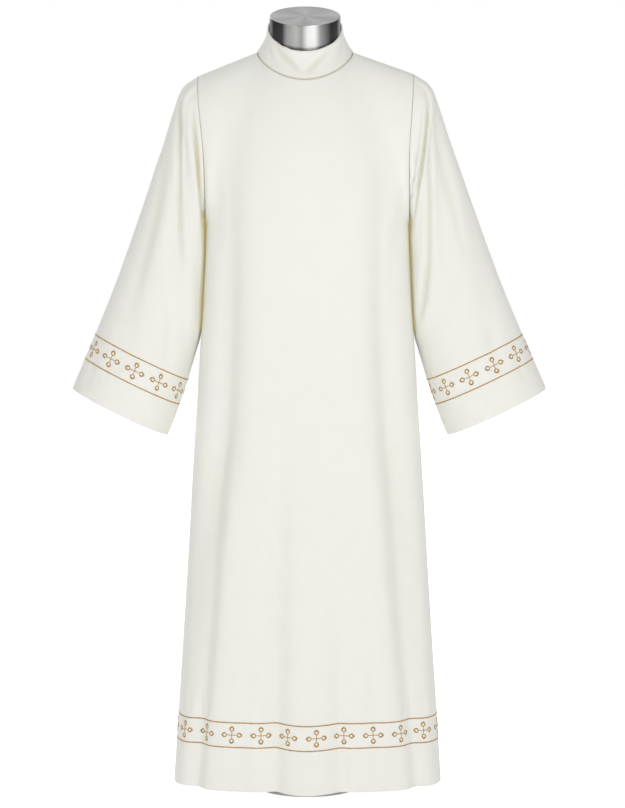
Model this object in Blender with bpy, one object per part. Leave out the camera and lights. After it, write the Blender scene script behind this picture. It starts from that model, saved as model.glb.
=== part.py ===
"""Alb robe standing on a limbless dress form.

Metres, +Z up. The floor is z = 0, the robe's front faces -Y, and the stand's axis is x = 0, y = 0.
Each cut piece of cloth is a closed wall WALL thick, and neighbours keep GAP between them at a seam.
The wearer's right is at -X.
"""
import math
from collections import namedtuple

import bmesh
import bpy
import numpy as np

# Driving dimensions
WALL = 0.002
GAP = 0.0003
HEM_HEIGHT = 0.016
UNDERARM_HEIGHT = 1.071
SHOULDER_HEIGHT = 1.349
SHOULDER_HALF_WIDTH = 0.2032
UNDERARM_HALF_WIDTH = 0.191
ARMHOLE_FRONT_DEPTH = 0.064
ARMHOLE_BACK_DEPTH = 0.066
NECK_LEAN = -0.0045
HEM_DROP_PER_PUSH = 0.08

# Mesh counts, shared by pieces that meet at a seam
NECK_STEPS = 8
SHOULDER_STEPS = 6
ARMHOLE_STEPS = 12
SKIRT_STEPS = 15
SLEEVE_STEPS = 14
COLLAR_STEPS = 3

BodyLevel = namedtuple("BodyLevel", "height half_width front back front_square back_square")
BODY_LEVELS = (
    BodyLevel(HEM_HEIGHT, 0.2550, 0.128, 0.150, 2.70, 2.40),
    BodyLevel(0.145, 0.2470, 0.128, 0.147, 2.65, 2.38),
    BodyLevel(0.350, 0.2335, 0.127, 0.141, 2.60, 2.36),
    BodyLevel(0.600, 0.2176, 0.126, 0.134, 2.50, 2.32),
    BodyLevel(0.816, 0.2036, 0.126, 0.128, 2.40, 2.30),
    BodyLevel(0.900, 0.1985, 0.126, 0.126, 2.40, 2.30),
    BodyLevel(0.980, 0.1945, 0.126, 0.124, 2.40, 2.30),
    BodyLevel(UNDERARM_HEIGHT, UNDERARM_HALF_WIDTH, 0.126, 0.121, 2.40, 2.30),
)

# Outer edge line and underarm line of a sleeve, with how far it swells to front and back
SleeveSection = namedtuple("SleeveSection", "outer_x outer_z inner_x inner_z front back")
SLEEVE_SECTIONS = (
    SleeveSection(SHOULDER_HALF_WIDTH, SHOULDER_HEIGHT, 0.1910, UNDERARM_HEIGHT, 0.064, 0.066),
    SleeveSection(0.2345, 1.3270, 0.1965, 1.0420, 0.067, 0.068),
    SleeveSection(0.2505, 1.2866, 0.1990, 1.0150, 0.069, 0.069),
    SleeveSection(0.2684, 1.2303, 0.2005, 0.9790, 0.070, 0.070),
    SleeveSection(0.2880, 1.1740, 0.2016, 0.9400, 0.071, 0.071),
    SleeveSection(0.3075, 1.1178, 0.2027, 0.9000, 0.073, 0.072),
    SleeveSection(0.3343, 1.0425, 0.2050, 0.8560, 0.075, 0.074),
    SleeveSection(0.3621, 0.9671, 0.2190, 0.8050, 0.078, 0.077),
    SleeveSection(0.3928, 0.8915, 0.2345, 0.7550, 0.081, 0.081),
    SleeveSection(0.4255, 0.8157, 0.2520, 0.7060, 0.084, 0.084),
    SleeveSection(0.4485, 0.7635, 0.2650, 0.6751, 0.086, 0.086),
)
CUFF_REACH = {-1: -0.0035, 1: 0.0035}
SLEEVE_ROW_SPREAD = 1.15

# A soft fold runs from its top to its low end. Depth is out of the cloth where it is positive.
Fold = namedtuple("Fold", "x_top z_top x_low z_low bow mid_depth low_depth width")
FRONT_FOLDS = (
    Fold(-0.139, 1.22, -0.216, HEM_HEIGHT, 0.0124, -0.007, -0.015, 0.018),
    Fold(-0.052, 0.87, -0.060, HEM_HEIGHT, 0.0060, -0.004, -0.009, 0.016),
    Fold(0.002, 0.80, -0.001, HEM_HEIGHT, 0.0, 0.007, 0.021, 0.045),
    Fold(0.060, 0.58, 0.062, HEM_HEIGHT, 0.0, -0.002, -0.006, 0.016),
    Fold(0.133, 1.20, 0.212, HEM_HEIGHT, -0.0152, -0.007, -0.014, 0.018),
)
BACK_FOLDS = (
    Fold(-0.128, 1.20, -0.196, HEM_HEIGHT, 0.010, -0.008, -0.017, 0.020),
    Fold(-0.088, 0.98, -0.128, HEM_HEIGHT, 0.006, 0.006, 0.015, 0.026),
    Fold(-0.048, 1.02, -0.070, HEM_HEIGHT, 0.004, -0.006, -0.014, 0.020),
    Fold(0.004, 0.86, 0.006, HEM_HEIGHT, 0.0, 0.006, 0.016, 0.042),
    Fold(0.056, 0.96, 0.082, HEM_HEIGHT, -0.004, -0.006, -0.013, 0.020),
    Fold(0.096, 1.00, 0.140, HEM_HEIGHT, -0.005, 0.006, 0.013, 0.026),
    Fold(0.126, 1.21, 0.200, HEM_HEIGHT, -0.010, -0.008, -0.016, 0.020),
)
SLEEVE_FRONT_FOLDS = {
    -1: (
        Fold(-0.238, 1.290, -0.246, 0.960, 0.004, -0.009, 0.0, 0.019),
        Fold(-0.296, 1.180, -0.342, 0.800, -0.006, -0.005, -0.002, 0.024),
    ),
    1: (
        Fold(0.236, 1.290, 0.262, 0.930, 0.004, -0.009, 0.0, 0.019),
        Fold(0.300, 1.150, 0.352, 0.800, 0.004, -0.004, -0.002, 0.024),
    ),
}
SLEEVE_BACK_FOLDS = {
    -1: (
        Fold(-0.236, 1.270, -0.250, 0.940, 0.003, -0.010, 0.0, 0.021),
        Fold(-0.290, 1.140, -0.338, 0.790, -0.004, -0.005, -0.002, 0.026),
    ),
    1: (
        Fold(0.240, 1.280, 0.256, 0.950, -0.003, -0.010, 0.0, 0.021),
        Fold(0.302, 1.160, 0.346, 0.810, 0.004, -0.005, -0.002, 0.026),
    ),
}

# Collar loops: half width, half depth and centre, with heights at front, side and back
CollarLoop = namedtuple("CollarLoop", "half_width half_depth centre_y front_z side_z back_z")
COLLAR_BASE = CollarLoop(0.0900, 0.0800, -0.0010, 1.3380, 1.3935, 1.4050)
COLLAR_TOP = CollarLoop(0.0704, 0.0700, -0.0075, 1.3895, 1.4450, 1.4620)
COLLAR_BLEND = (0.0, 0.42, 0.76, 1.0)

# Dress form
FormRing = namedtuple("FormRing", "half_width front back centre_y front_z side_z back_z")
SHOULDER_SLOPE = (COLLAR_BASE.side_z - SHOULDER_HEIGHT) / (SHOULDER_HALF_WIDTH - COLLAR_BASE.half_width)
FORM_CLEARANCE = 0.0005
NECK_TILT = math.radians(22)
CAP_RADIUS = 0.0662
CAP_HEIGHT = 0.050
CAP_TOP_Y = -0.018
CAP_TOP_Z = 1.460
CAP_BEVEL = 0.0012
FORM_SIDES = 28
FORM_NECK_RADIUS = 0.060
FORM_SQUARE = 2.2

POLE_RADIUS = 0.0125
POLE_SIDES = 20
BASE_RADIUS = 0.100
BASE_THICKNESS = 0.005
BOSS_RADIUS = 0.020
BOSS_HEIGHT = 0.030
BASE_SIDES = 48
FORM_BOTTOM = 0.640

# Centre-back zip
ZIP_LOW_HEIGHT = 1.050
ZIP_HALF_WIDTH = 0.006
ZIP_THICKNESS = 0.001
ZIP_STANDOFF = 0.0010
SLIDER_TOP_DROP = 0.004
SLIDER_LENGTH = 0.010
SLIDER_HALF_WIDTH = 0.003
SLIDER_STANDOFF = 0.0004
SLIDER_THICKNESS = 0.0026
PULL_LENGTH = 0.030
PULL_STANDOFF = 0.0008
PULL_THICKNESS = 0.0012

MATERIALS = {
    "ivory_cloth": ((0.86, 0.84, 0.77), 0.85, 0.0),
    "form_cover": ((0.80, 0.77, 0.70), 0.80, 0.0),
    "brushed_steel": ((0.62, 0.62, 0.62), 0.32, 1.0),
    "painted_steel": ((0.80, 0.79, 0.75), 0.45, 0.0),
    "zip_metal": ((0.75, 0.74, 0.70), 0.35, 1.0),
}


def clear_scene():
    """Remove whatever objects the file holds."""
    for item in list(bpy.data.objects):
        bpy.data.objects.remove(item, do_unlink=True)


def make_material(name):
    """Return the Principled material of that name."""
    colour, roughness, metallic = MATERIALS[name]
    material = bpy.data.materials.get(name) or bpy.data.materials.new(name)
    material.use_nodes = True
    shader = material.node_tree.nodes["Principled BSDF"]
    shader.inputs["Base Color"].default_value = (*colour, 1.0)
    shader.inputs["Roughness"].default_value = roughness
    shader.inputs["Metallic"].default_value = metallic
    return material


def add_object(name, vertices, faces, material, smooth=True):
    """Make one named solid and turn its faces outwards."""
    mesh = bpy.data.meshes.new(name)
    mesh.from_pydata([tuple(float(c) for c in v) for v in vertices], [], faces)
    work = bmesh.new()
    work.from_mesh(mesh)
    bmesh.ops.recalc_face_normals(work, faces=work.faces)
    work.to_mesh(mesh)
    work.free()
    if smooth:
        mesh.shade_smooth()
        mesh.set_sharp_from_angle(angle=math.radians(50))
    mesh.materials.append(make_material(material))
    item = bpy.data.objects.new(name, mesh)
    bpy.context.scene.collection.objects.link(item)
    return item


def smooth_step(t):
    """Ease from 0 to 1."""
    t = np.clip(t, 0.0, 1.0)
    return t * t * (3.0 - 2.0 * t)


def read_row(rows, place):
    """Catmull-Rom reading of a table of rows at a place from 0 to its last row."""
    table = np.array(rows, dtype=float)
    last = len(table) - 1
    low = int(min(max(math.floor(place), 0), last - 1))
    t = place - low
    before = table[low - 1] if low > 0 else 2 * table[0] - table[1]
    after = table[low + 2] if low + 2 <= last else 2 * table[last] - table[last - 1]
    start, end = table[low], table[low + 1]
    return 0.5 * (
        2 * start
        + (end - before) * t
        + (2 * before - 5 * start + 4 * end - after) * t * t
        + (3 * start - before - 3 * end + after) * t * t * t
    )


def lean(height):
    """The neck and shoulders stand a little to the wearer's right."""
    return NECK_LEAN * smooth_step((height - 1.08) / 0.24)


def quarter_section(half_width, depth, square, fractions):
    """Points of a squared ellipse from the centre line to the side, at even shares of its length."""
    angle = np.linspace(0.0, math.pi / 2, 181)
    radius = ((np.sin(angle) / half_width) ** square + (np.cos(angle) / depth) ** square) ** (-1 / square)
    x, y = radius * np.sin(angle), radius * np.cos(angle)
    length = np.concatenate([[0.0], np.cumsum(np.hypot(np.diff(x), np.diff(y)))])
    at = np.asarray(fractions) * length[-1]
    return np.interp(at, length, x), np.interp(at, length, y)


def loop_height(loop, angle):
    """Height of a collar loop at an angle from its front."""
    swing = (loop.front_z - loop.back_z) / 2
    mean = ((loop.front_z + loop.back_z) / 2 + loop.side_z) / 2
    return mean + swing * math.cos(angle) + (mean - loop.side_z) * math.cos(2 * angle)


def loop_point(loop, angle):
    """Point of a collar loop, at an angle from its front, positive towards +X."""
    height = loop_height(loop, angle)
    x = loop.half_width * math.sin(angle) + lean(height)
    return np.array([x, loop.centre_y - loop.half_depth * math.cos(angle), height])


def armhole_point(side, angle):
    """Armhole seam point: angle 0 at the shoulder, pi at the underarm, positive through the front."""
    rise = 0.5 * (1 + math.cos(angle))
    height = UNDERARM_HEIGHT + (SHOULDER_HEIGHT - UNDERARM_HEIGHT) * rise
    reach = UNDERARM_HALF_WIDTH + (SHOULDER_HALF_WIDTH - UNDERARM_HALF_WIDTH) * smooth_step((rise - 0.35) / 0.65)
    depth = ARMHOLE_FRONT_DEPTH if math.sin(angle) >= 0 else ARMHOLE_BACK_DEPTH
    return np.array([side * reach + lean(height), -depth * math.sin(angle), height])


def shoulder_point(side, share):
    """Shoulder seam point: share 0 at the neck, 1 at the armhole."""
    neck = loop_point(COLLAR_BASE, side * math.pi / 2)
    return neck + (armhole_point(side, 0.0) - neck) * share


def column_shares():
    """Share of the half section's length at each column from the centre line to the side."""
    return np.linspace(0.0, 1.0, NECK_STEPS + SHOULDER_STEPS + 1)


def skirt_row(place, face):
    """One half row of the skirt, centre to side, as (x, y, z) for the +X side."""
    level = BodyLevel(*read_row(BODY_LEVELS, place))
    depth = level.front if face > 0 else level.back
    square = level.front_square if face > 0 else level.back_square
    x, y = quarter_section(level.half_width, depth, square, column_shares())
    return np.stack([x, -face * y, np.full_like(x, level.height)], axis=1)


def hermite(start, start_tangent, end, end_tangent, t):
    """Cubic Hermite point."""
    return (
        (2 * t**3 - 3 * t**2 + 1) * start
        + (t**3 - 2 * t**2 + t) * start_tangent
        + (3 * t**2 - 2 * t**3) * end
        + (t**3 - t**2) * end_tangent
    )


def bodice_row(step, face, side):
    """One half row above the underarm, centre to armhole, mirrored to its side."""
    base = skirt_row(len(BODY_LEVELS) - 1, face)
    across = 4 * (ARMHOLE_FRONT_DEPTH if face > 0 else ARMHOLE_BACK_DEPTH)
    edge_pull = np.array([0.0, -face * across, 0.0])
    roll = np.array([0.0, face * across, 0.0])
    rise = np.array([0.0, 0.0, 0.27])
    slope = np.array([0.0, face * 0.11, 0.25])
    t = step / ARMHOLE_STEPS
    points = []
    for column, share in enumerate(column_shares()):
        start = base[column] * np.array([side, 1.0, 1.0])
        if column <= NECK_STEPS:
            turn = column / NECK_STEPS
            angle = side * turn * math.pi / 2
            end = loop_point(COLLAR_BASE, angle if face > 0 else side * math.pi - angle)
            end_tangent = slope + (roll - slope) * turn**2
        else:
            end = shoulder_point(side, (column - NECK_STEPS) / SHOULDER_STEPS)
            end_tangent = roll
        edge = smooth_step((share - 0.5) / 0.5)
        point = hermite(start, rise + (edge_pull - rise) * edge**2, end, end_tangent, t)
        points.append(point)
    angle = math.pi * (1 - t)
    off = armhole_point(side, angle if face > 0 else -angle) - points[-1]
    weights = smooth_step((column_shares() - 0.4) / 0.6) ** 2
    return np.array(points) + weights[:, None] * off


def fold_push(folds, x, z):
    """How far the folds push the cloth outwards at a place in the front view."""
    push = np.zeros_like(x)
    for fold in folds:
        s = (fold.z_top - z) / (fold.z_top - fold.z_low)
        inside = (s > 0) & (s <= 1.001)
        s = np.clip(s, 0.0, 1.0)
        centre = fold.x_top + (fold.x_low - fold.x_top) * s + 4 * fold.bow * s * (1 - s)
        depth = fold.mid_depth * 4 * s * (1 - s) + fold.low_depth * s * (2 * s - 1)
        push += np.where(inside, depth * np.exp(-(((x - centre) / fold.width) ** 2)), 0.0)
    return push


def grid_normals(grid, hearts, wrap=False):
    """Unit normals of a grid of points, turned away from each row's heart."""
    if wrap:
        along = np.roll(grid, -1, axis=1) - np.roll(grid, 1, axis=1)
    else:
        along = np.gradient(grid, axis=1)
    up = np.gradient(grid, axis=0)
    normals = np.cross(along, up)
    normals /= np.linalg.norm(normals, axis=2, keepdims=True) + 1e-12
    outward = np.sum(normals * (grid - hearts[:, None, :]))
    return normals if outward > 0 else -normals


def body_panel(face):
    """Outer points of the whole front or back, hem to neck, as seen from outside."""
    last = len(BODY_LEVELS) - 1
    rows = []
    for step in range(SKIRT_STEPS + 1):
        half = skirt_row(last * step / SKIRT_STEPS, face)
        rows.append((half * np.array([-1.0, 1.0, 1.0]), half))
    for step in range(1, ARMHOLE_STEPS + 1):
        rows.append((bodice_row(step, face, -1), bodice_row(step, face, 1)))
    grid = np.array([np.concatenate([low[::-1], high[1:]]) for low, high in rows])
    if face < 0:
        grid = grid[:, ::-1]
    hearts = np.stack([np.zeros(len(grid)), np.zeros(len(grid)), grid[:, :, 2].mean(axis=1)], axis=1)
    normals = grid_normals(grid, hearts)
    shares = np.abs(np.linspace(-1.0, 1.0, grid.shape[1]))
    fade = 1 - shares**8
    push = fold_push(FRONT_FOLDS if face > 0 else BACK_FOLDS, grid[:, :, 0], grid[:, :, 2]) * fade[None, :]
    push[-1, :] = 0.0
    grid = grid + normals * push[:, :, None]
    low = 1 - smooth_step((grid[:, :, 2] - HEM_HEIGHT) / 0.25)
    grid[:, :, 2] -= HEM_DROP_PER_PUSH * push * low
    return grid, hearts


def clamp_inward(inward, across):
    """Take out of a wall's direction the part that points over the seam."""
    return inward - max(0.0, float(np.dot(inward, across))) * across


def shell(name, grid, hearts, seams, material="ivory_cloth", wrap=False):
    """Closed wall behind a grid of outer points.

    seams maps low, high, first and last to a list for each of that edge's points,
    which holds the directions over the edge to its neighbours.
    """
    rows, columns = grid.shape[:2]
    normals = grid_normals(grid, hearts, wrap)
    outer = grid.copy()
    inward = -normals
    edges = {
        "low": [(0, c) for c in range(columns)],
        "high": [(rows - 1, c) for c in range(columns)],
        "first": [(r, 0) for r in range(rows)],
        "last": [(r, columns - 1) for r in range(rows)],
    }
    for edge, directions in seams.items():
        for (row, column), neighbours in zip(edges[edge], directions):
            for across in neighbours:
                inward[row, column] = clamp_inward(inward[row, column], across)
                outer[row, column] -= across * GAP / 2
    inner = outer + inward * WALL
    vertices = list(outer.reshape(-1, 3)) + list(inner.reshape(-1, 3))
    count = rows * columns
    faces = []
    spans = columns if wrap else columns - 1
    for row in range(rows - 1):
        for column in range(spans):
            after = (column + 1) % columns
            a, b = row * columns + column, row * columns + after
            c, d = (row + 1) * columns + after, (row + 1) * columns + column
            faces.append((a, b, c, d))
            faces.append((a + count, d + count, c + count, b + count))
    for column in range(spans):
        after = (column + 1) % columns
        faces.append((column, column + count, after + count, after))
        top, top_after = (rows - 1) * columns + column, (rows - 1) * columns + after
        faces.append((top, top_after, top_after + count, top + count))
    if not wrap:
        for row in range(rows - 1):
            a, b = row * columns, (row + 1) * columns
            faces.append((a, b, b + count, a + count))
            a, b = a + columns - 1, b + columns - 1
            faces.append((a, a + count, b + count, b))
    return add_object(name, vertices, faces, material)


def direction(x, y, z):
    """A direction as an array."""
    return np.array([x, y, z], dtype=float)


def side_seam(face, side):
    """Directions over the side edge of a panel: the other panel below, the sleeve above."""
    below = [[direction(0, face, 0)]] * SKIRT_STEPS
    corner = [direction(0, face, 0), direction(side, 0, 0)]
    above = [[direction(side, 0, 0)]] * ARMHOLE_STEPS
    return below + [corner] + above


def neck_over(angle):
    """Direction up over the neck seam, square to it."""
    step = 0.01
    along = loop_point(COLLAR_BASE, angle + step) - loop_point(COLLAR_BASE, angle - step)
    along /= np.linalg.norm(along)
    up = direction(0, 0, 1)
    up = up - np.dot(up, along) * along
    return up / np.linalg.norm(up)


def top_seam(face, side):
    """Directions over half a panel's top edge, centre to armhole: the collar, then the other panel."""
    turns = [side * math.pi / 2 * step / NECK_STEPS for step in range(NECK_STEPS + 1)]
    neck = [[neck_over(turn if face > 0 else side * math.pi - turn)] for turn in turns]
    neck[-1].append(direction(0, face, 0))
    return neck + [[direction(0, face, 0)]] * SHOULDER_STEPS


def make_front():
    """Front panel, cut in one piece."""
    grid, hearts = body_panel(1)
    seams = {
        "high": top_seam(1, -1)[:0:-1] + top_seam(1, 1),
        "first": side_seam(1, -1),
        "last": side_seam(1, 1),
    }
    shell("front_panel", grid, hearts, seams)


def make_backs():
    """Two back panels, which meet at the centre-back seam and zip."""
    grid, hearts = body_panel(-1)
    middle = grid.shape[1] // 2
    rows = grid.shape[0]
    left = {
        "high": top_seam(-1, 1)[::-1],
        "first": side_seam(-1, 1),
        "last": [[direction(-1, 0, 0)]] * rows,
    }
    right = {
        "high": top_seam(-1, -1),
        "first": [[direction(1, 0, 0)]] * rows,
        "last": side_seam(-1, -1),
    }
    shell("back_panel_left", grid[:, : middle + 1], hearts, left)
    shell("back_panel_right", grid[:, middle:], hearts, right)
    return grid[:, middle]


def sleeve_grid(side):
    """Outer points of a sleeve, armhole to cuff, round from the top edge through the front."""
    last = len(SLEEVE_SECTIONS) - 1
    count = 2 * ARMHOLE_STEPS
    rows, hearts = [], []
    for step in range(SLEEVE_STEPS + 1):
        place = last * (step / SLEEVE_STEPS) ** SLEEVE_ROW_SPREAD
        section = SleeveSection(*read_row(SLEEVE_SECTIONS, place))
        share = place / last
        reach = CUFF_REACH[side] * share**2
        outer = np.array([side * (section.outer_x + reach), 0.0, section.outer_z])
        inner = np.array([side * section.inner_x, 0.0, section.inner_z])
        middle, half = (outer + inner) / 2, (outer - inner) / 2
        row = []
        for index in range(count):
            angle = 2 * math.pi * index / count
            depth = section.front if math.sin(angle) >= 0 else section.back
            point = middle + half * math.cos(angle) - np.array([0.0, depth * math.sin(angle), 0.0])
            row.append(point)
        rows.append(row)
        hearts.append(middle)
    grid, hearts = np.array(rows), np.array(hearts)
    seam_angles = [2 * math.pi * index / count for index in range(count)]
    seam = np.array([armhole_point(side, a if a <= math.pi else a - 2 * math.pi) for a in seam_angles])
    off = seam - grid[0]
    fade = (1 - np.linspace(0.0, 1.0, SLEEVE_STEPS + 1)) ** 4
    grid = grid + fade[:, None, None] * off[None, :, :]
    normals = grid_normals(grid, hearts, wrap=True)
    front = grid[:, :, 1] < 0
    x, z = grid[:, :, 0], grid[:, :, 2]
    push = np.where(front, fold_push(SLEEVE_FRONT_FOLDS[side], x, z), fold_push(SLEEVE_BACK_FOLDS[side], x, z))
    swell = np.abs(np.sin(np.array(seam_angles)))[None, :]
    push = push * swell
    push[0, :] = 0.0
    return grid + normals * push[:, :, None], hearts


def make_sleeve(name, side):
    """One sleeve, a tube sewn along its underarm."""
    grid, hearts = sleeve_grid(side)
    seams = {"low": [[direction(-side, 0, 0)]] * grid.shape[1]}
    shell(name, grid, hearts, seams, wrap=True)


def collar_grid():
    """Outer points of the stand collar, from centre back round the front to centre back."""
    steps = 4 * NECK_STEPS
    angles = [-math.pi + 2 * math.pi * index / steps for index in range(steps + 1)]
    base = np.array([loop_point(COLLAR_BASE, angle) for angle in angles])
    top = np.array([loop_point(COLLAR_TOP, angle) for angle in angles])
    rows = []
    for step, blend in enumerate(COLLAR_BLEND):
        rise = step / COLLAR_STEPS
        row = base + (top - base) * blend
        row[:, 2] = base[:, 2] + (top[:, 2] - base[:, 2]) * rise
        rows.append(row)
    grid = np.array(rows)
    hearts = np.stack([np.zeros(len(grid)), np.zeros(len(grid)), grid[:, :, 2].mean(axis=1)], axis=1)
    return grid, hearts


def make_collar():
    """Stand collar, open at the centre back."""
    grid, hearts = collar_grid()
    rows, columns = grid.shape[:2]
    steps = columns - 1
    angles = [-math.pi + 2 * math.pi * index / steps for index in range(columns)]
    seams = {
        "low": [[-neck_over(angle)] for angle in angles],
        "first": [[direction(-1, 0, 0)]] * rows,
        "last": [[direction(1, 0, 0)]] * rows,
    }
    shell("stand_collar", grid, hearts, seams)
    return grid[:, 0]


def ribbon(name, line, half_width, near, thickness, outward, material):
    """Flat strip along a line in the plane x = its x, near to its face and thickness deep."""
    line = np.array(line)
    along = np.gradient(line, axis=0)
    along /= np.linalg.norm(along, axis=1, keepdims=True)
    across = np.array([1.0, 0.0, 0.0])
    normal = np.cross(along, across)
    if np.sum(normal[:, 1]) < 0:
        normal = -normal
    sign = 1 if outward else -1
    vertices, faces = [], []
    for point, n in zip(line, normal):
        for depth in (near, near + thickness):
            for side in (-1, 1):
                vertices.append(point + sign * n * depth + across * side * half_width)
    for index in range(len(line) - 1):
        a, b = 4 * index, 4 * index + 4
        faces += [(a, a + 1, b + 1, b), (a + 2, b + 2, b + 3, a + 3)]
        faces += [(a, b, b + 2, a + 2), (a + 1, a + 3, b + 3, b + 1)]
    end = 4 * (len(line) - 1)
    faces += [(0, 2, 3, 1), (end, end + 1, end + 3, end + 2)]
    return add_object(name, vertices, faces, material, smooth=False)


def follow(line, start, length, count):
    """Points along a line, from a start, over a length."""
    line = np.array(line)
    run = np.concatenate([[0.0], np.cumsum(np.linalg.norm(np.diff(line, axis=0), axis=1))])
    at = np.linspace(start, start + length, count)
    return np.stack([np.interp(at, run, line[:, axis]) for axis in range(3)], axis=1)


def make_zip(back_line, collar_line):
    """Concealed zip behind the centre-back opening, its slider and its cloth pull."""
    tape = [point for point in back_line[:-1] if point[2] > ZIP_LOW_HEIGHT] + list(collar_line)
    ribbon("zip_tape", tape, ZIP_HALF_WIDTH, WALL + ZIP_STANDOFF, ZIP_THICKNESS, False, "ivory_cloth")
    slider = follow(collar_line[::-1], SLIDER_TOP_DROP, SLIDER_LENGTH, 4)
    ribbon("zip_slider", slider, SLIDER_HALF_WIDTH, SLIDER_STANDOFF, SLIDER_THICKNESS, True, "zip_metal")
    pull_start = SLIDER_TOP_DROP + SLIDER_LENGTH + 2 * GAP
    pull = follow(collar_line[::-1], pull_start, PULL_LENGTH, 6)
    ribbon("zip_pull", pull, SLIDER_HALF_WIDTH, PULL_STANDOFF, PULL_THICKNESS, True, "ivory_cloth")


def cap_axis():
    """Unit vector up the tilted neck."""
    return np.array([0.0, -math.sin(NECK_TILT), math.cos(NECK_TILT)])


def level_ring(height, half_width, front, back):
    """Form ring at one height all round."""
    return FormRing(half_width, front, back, 0.0, height, height, height)


def ridge_ring(side_z, front, back, front_z, back_z):
    """Form ring whose sides lie just under the shoulder seam."""
    drop = (WALL + FORM_CLEARANCE) * math.hypot(1, SHOULDER_SLOPE)
    half_width = SHOULDER_HALF_WIDTH - (side_z - SHOULDER_HEIGHT + drop) / SHOULDER_SLOPE
    return FormRing(half_width, front, back, 0.0, front_z, side_z, back_z)


def form_rings():
    """Rings of the torso from the hips to the neck."""
    top = np.array([0.0, CAP_TOP_Y, CAP_TOP_Z]) - cap_axis() * (CAP_HEIGHT + GAP)
    depth = FORM_NECK_RADIUS * math.cos(NECK_TILT)
    rise = FORM_NECK_RADIUS * math.sin(NECK_TILT)
    return [
        level_ring(FORM_BOTTOM, 0.138, 0.084, 0.088),
        level_ring(0.655, 0.152, 0.094, 0.098),
        level_ring(0.720, 0.166, 0.104, 0.110),
        level_ring(0.800, 0.166, 0.104, 0.108),
        level_ring(0.880, 0.154, 0.100, 0.098),
        level_ring(0.960, 0.147, 0.098, 0.092),
        level_ring(1.050, 0.154, 0.105, 0.096),
        level_ring(1.140, 0.164, 0.109, 0.100),
        level_ring(1.220, 0.170, 0.098, 0.092),
        FormRing(0.172, 0.084, 0.078, 0.0, 1.262, 1.280, 1.262),
        FormRing(0.175, 0.074, 0.068, 0.0, 1.286, 1.318, 1.286),
        FormRing(0.176, 0.066, 0.061, 0.0, 1.302, 1.340, 1.302),
        ridge_ring(1.3575, 0.061, 0.056, 1.314, 1.314),
        ridge_ring(1.3680, 0.059, 0.055, 1.324, 1.326),
        ridge_ring(1.3790, 0.058, 0.055, 1.334, 1.338),
        FormRing(0.083, 0.058, 0.057, 0.0, 1.346, 1.3875, 1.355),
        FormRing(0.066, 0.056, 0.057, 0.0, 1.362, 1.397, 1.385),
        FormRing(FORM_NECK_RADIUS, depth, depth, top[1], top[2] - rise, top[2], top[2] + rise),
    ]


def make_form():
    """Limbless torso, one closed surface with a flat underside and a tilted neck end."""
    vertices, faces = [], []
    rings = form_rings()
    for ring in rings:
        neck = smooth_step((ring.side_z - 1.37) / 0.03)
        power = 2 / (FORM_SQUARE + (2.0 - FORM_SQUARE) * neck)
        for index in range(FORM_SIDES):
            angle = 2 * math.pi * index / FORM_SIDES
            s, c = math.sin(angle), math.cos(angle)
            height = loop_height(ring, angle)
            x = ring.half_width * math.copysign(abs(s) ** power, s)
            y = math.copysign(abs(c) ** power, -c) * (ring.front if c > 0 else ring.back)
            vertices.append((x + float(lean(height)), ring.centre_y + y, height))
    for row in range(len(rings) - 1):
        for index in range(FORM_SIDES):
            after = (index + 1) % FORM_SIDES
            a, b = row * FORM_SIDES + index, row * FORM_SIDES + after
            faces.append((a, b, b + FORM_SIDES, a + FORM_SIDES))
    faces.append(tuple(range(FORM_SIDES)))
    start = (len(rings) - 1) * FORM_SIDES
    faces.append(tuple(range(start, start + FORM_SIDES)))
    add_object("form_torso", vertices, faces, "form_cover")


def turned(name, profile, sides, material):
    """Closed solid turned round the z axis from (radius, height) pairs, low to high."""
    vertices, faces = [], []
    for radius, height in profile:
        for index in range(sides):
            angle = 2 * math.pi * index / sides
            vertices.append((radius * math.cos(angle), radius * math.sin(angle), height))
    for row in range(len(profile) - 1):
        for index in range(sides):
            after = (index + 1) % sides
            a, b = row * sides + index, row * sides + after
            faces.append((a, b, b + sides, a + sides))
    faces.append(tuple(range(sides)))
    start = (len(profile) - 1) * sides
    faces.append(tuple(range(start, start + sides)))
    return add_object(name, vertices, faces, material)


def make_cap():
    """Brushed steel neck cap, tilted with the neck."""
    profile = [
        (CAP_RADIUS - CAP_BEVEL, -CAP_HEIGHT),
        (CAP_RADIUS, -CAP_HEIGHT + CAP_BEVEL),
        (CAP_RADIUS, -CAP_BEVEL),
        (CAP_RADIUS - CAP_BEVEL, 0.0),
    ]
    cap = turned("neck_cap", profile, 40, "brushed_steel")
    cap.location = (NECK_LEAN, CAP_TOP_Y, CAP_TOP_Z)
    cap.rotation_euler = (NECK_TILT, 0.0, 0.0)


def make_stand():
    """Pole and weighted base plate, hidden inside the skirt."""
    base_profile = [
        (BASE_RADIUS - 0.001, 0.0),
        (BASE_RADIUS, 0.001),
        (BASE_RADIUS, BASE_THICKNESS - 0.001),
        (BASE_RADIUS - 0.001, BASE_THICKNESS),
        (BOSS_RADIUS + 0.010, BASE_THICKNESS + 0.002),
        (BOSS_RADIUS + 0.002, BASE_THICKNESS + 0.006),
        (BOSS_RADIUS, BOSS_HEIGHT),
    ]
    turned("stand_base", base_profile, BASE_SIDES, "painted_steel")
    pole_profile = [(POLE_RADIUS, BOSS_HEIGHT + GAP), (POLE_RADIUS, FORM_BOTTOM - GAP)]
    turned("stand_pole", pole_profile, POLE_SIDES, "brushed_steel")


def main():
    """Build every piece."""
    clear_scene()
    make_front()
    back_line = make_backs()
    make_sleeve("sleeve_right", -1)
    make_sleeve("sleeve_left", 1)
    collar_line = make_collar()
    make_zip(back_line, collar_line)
    make_form()
    make_cap()
    make_stand()


if __name__ == "__main__":
    main()
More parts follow.
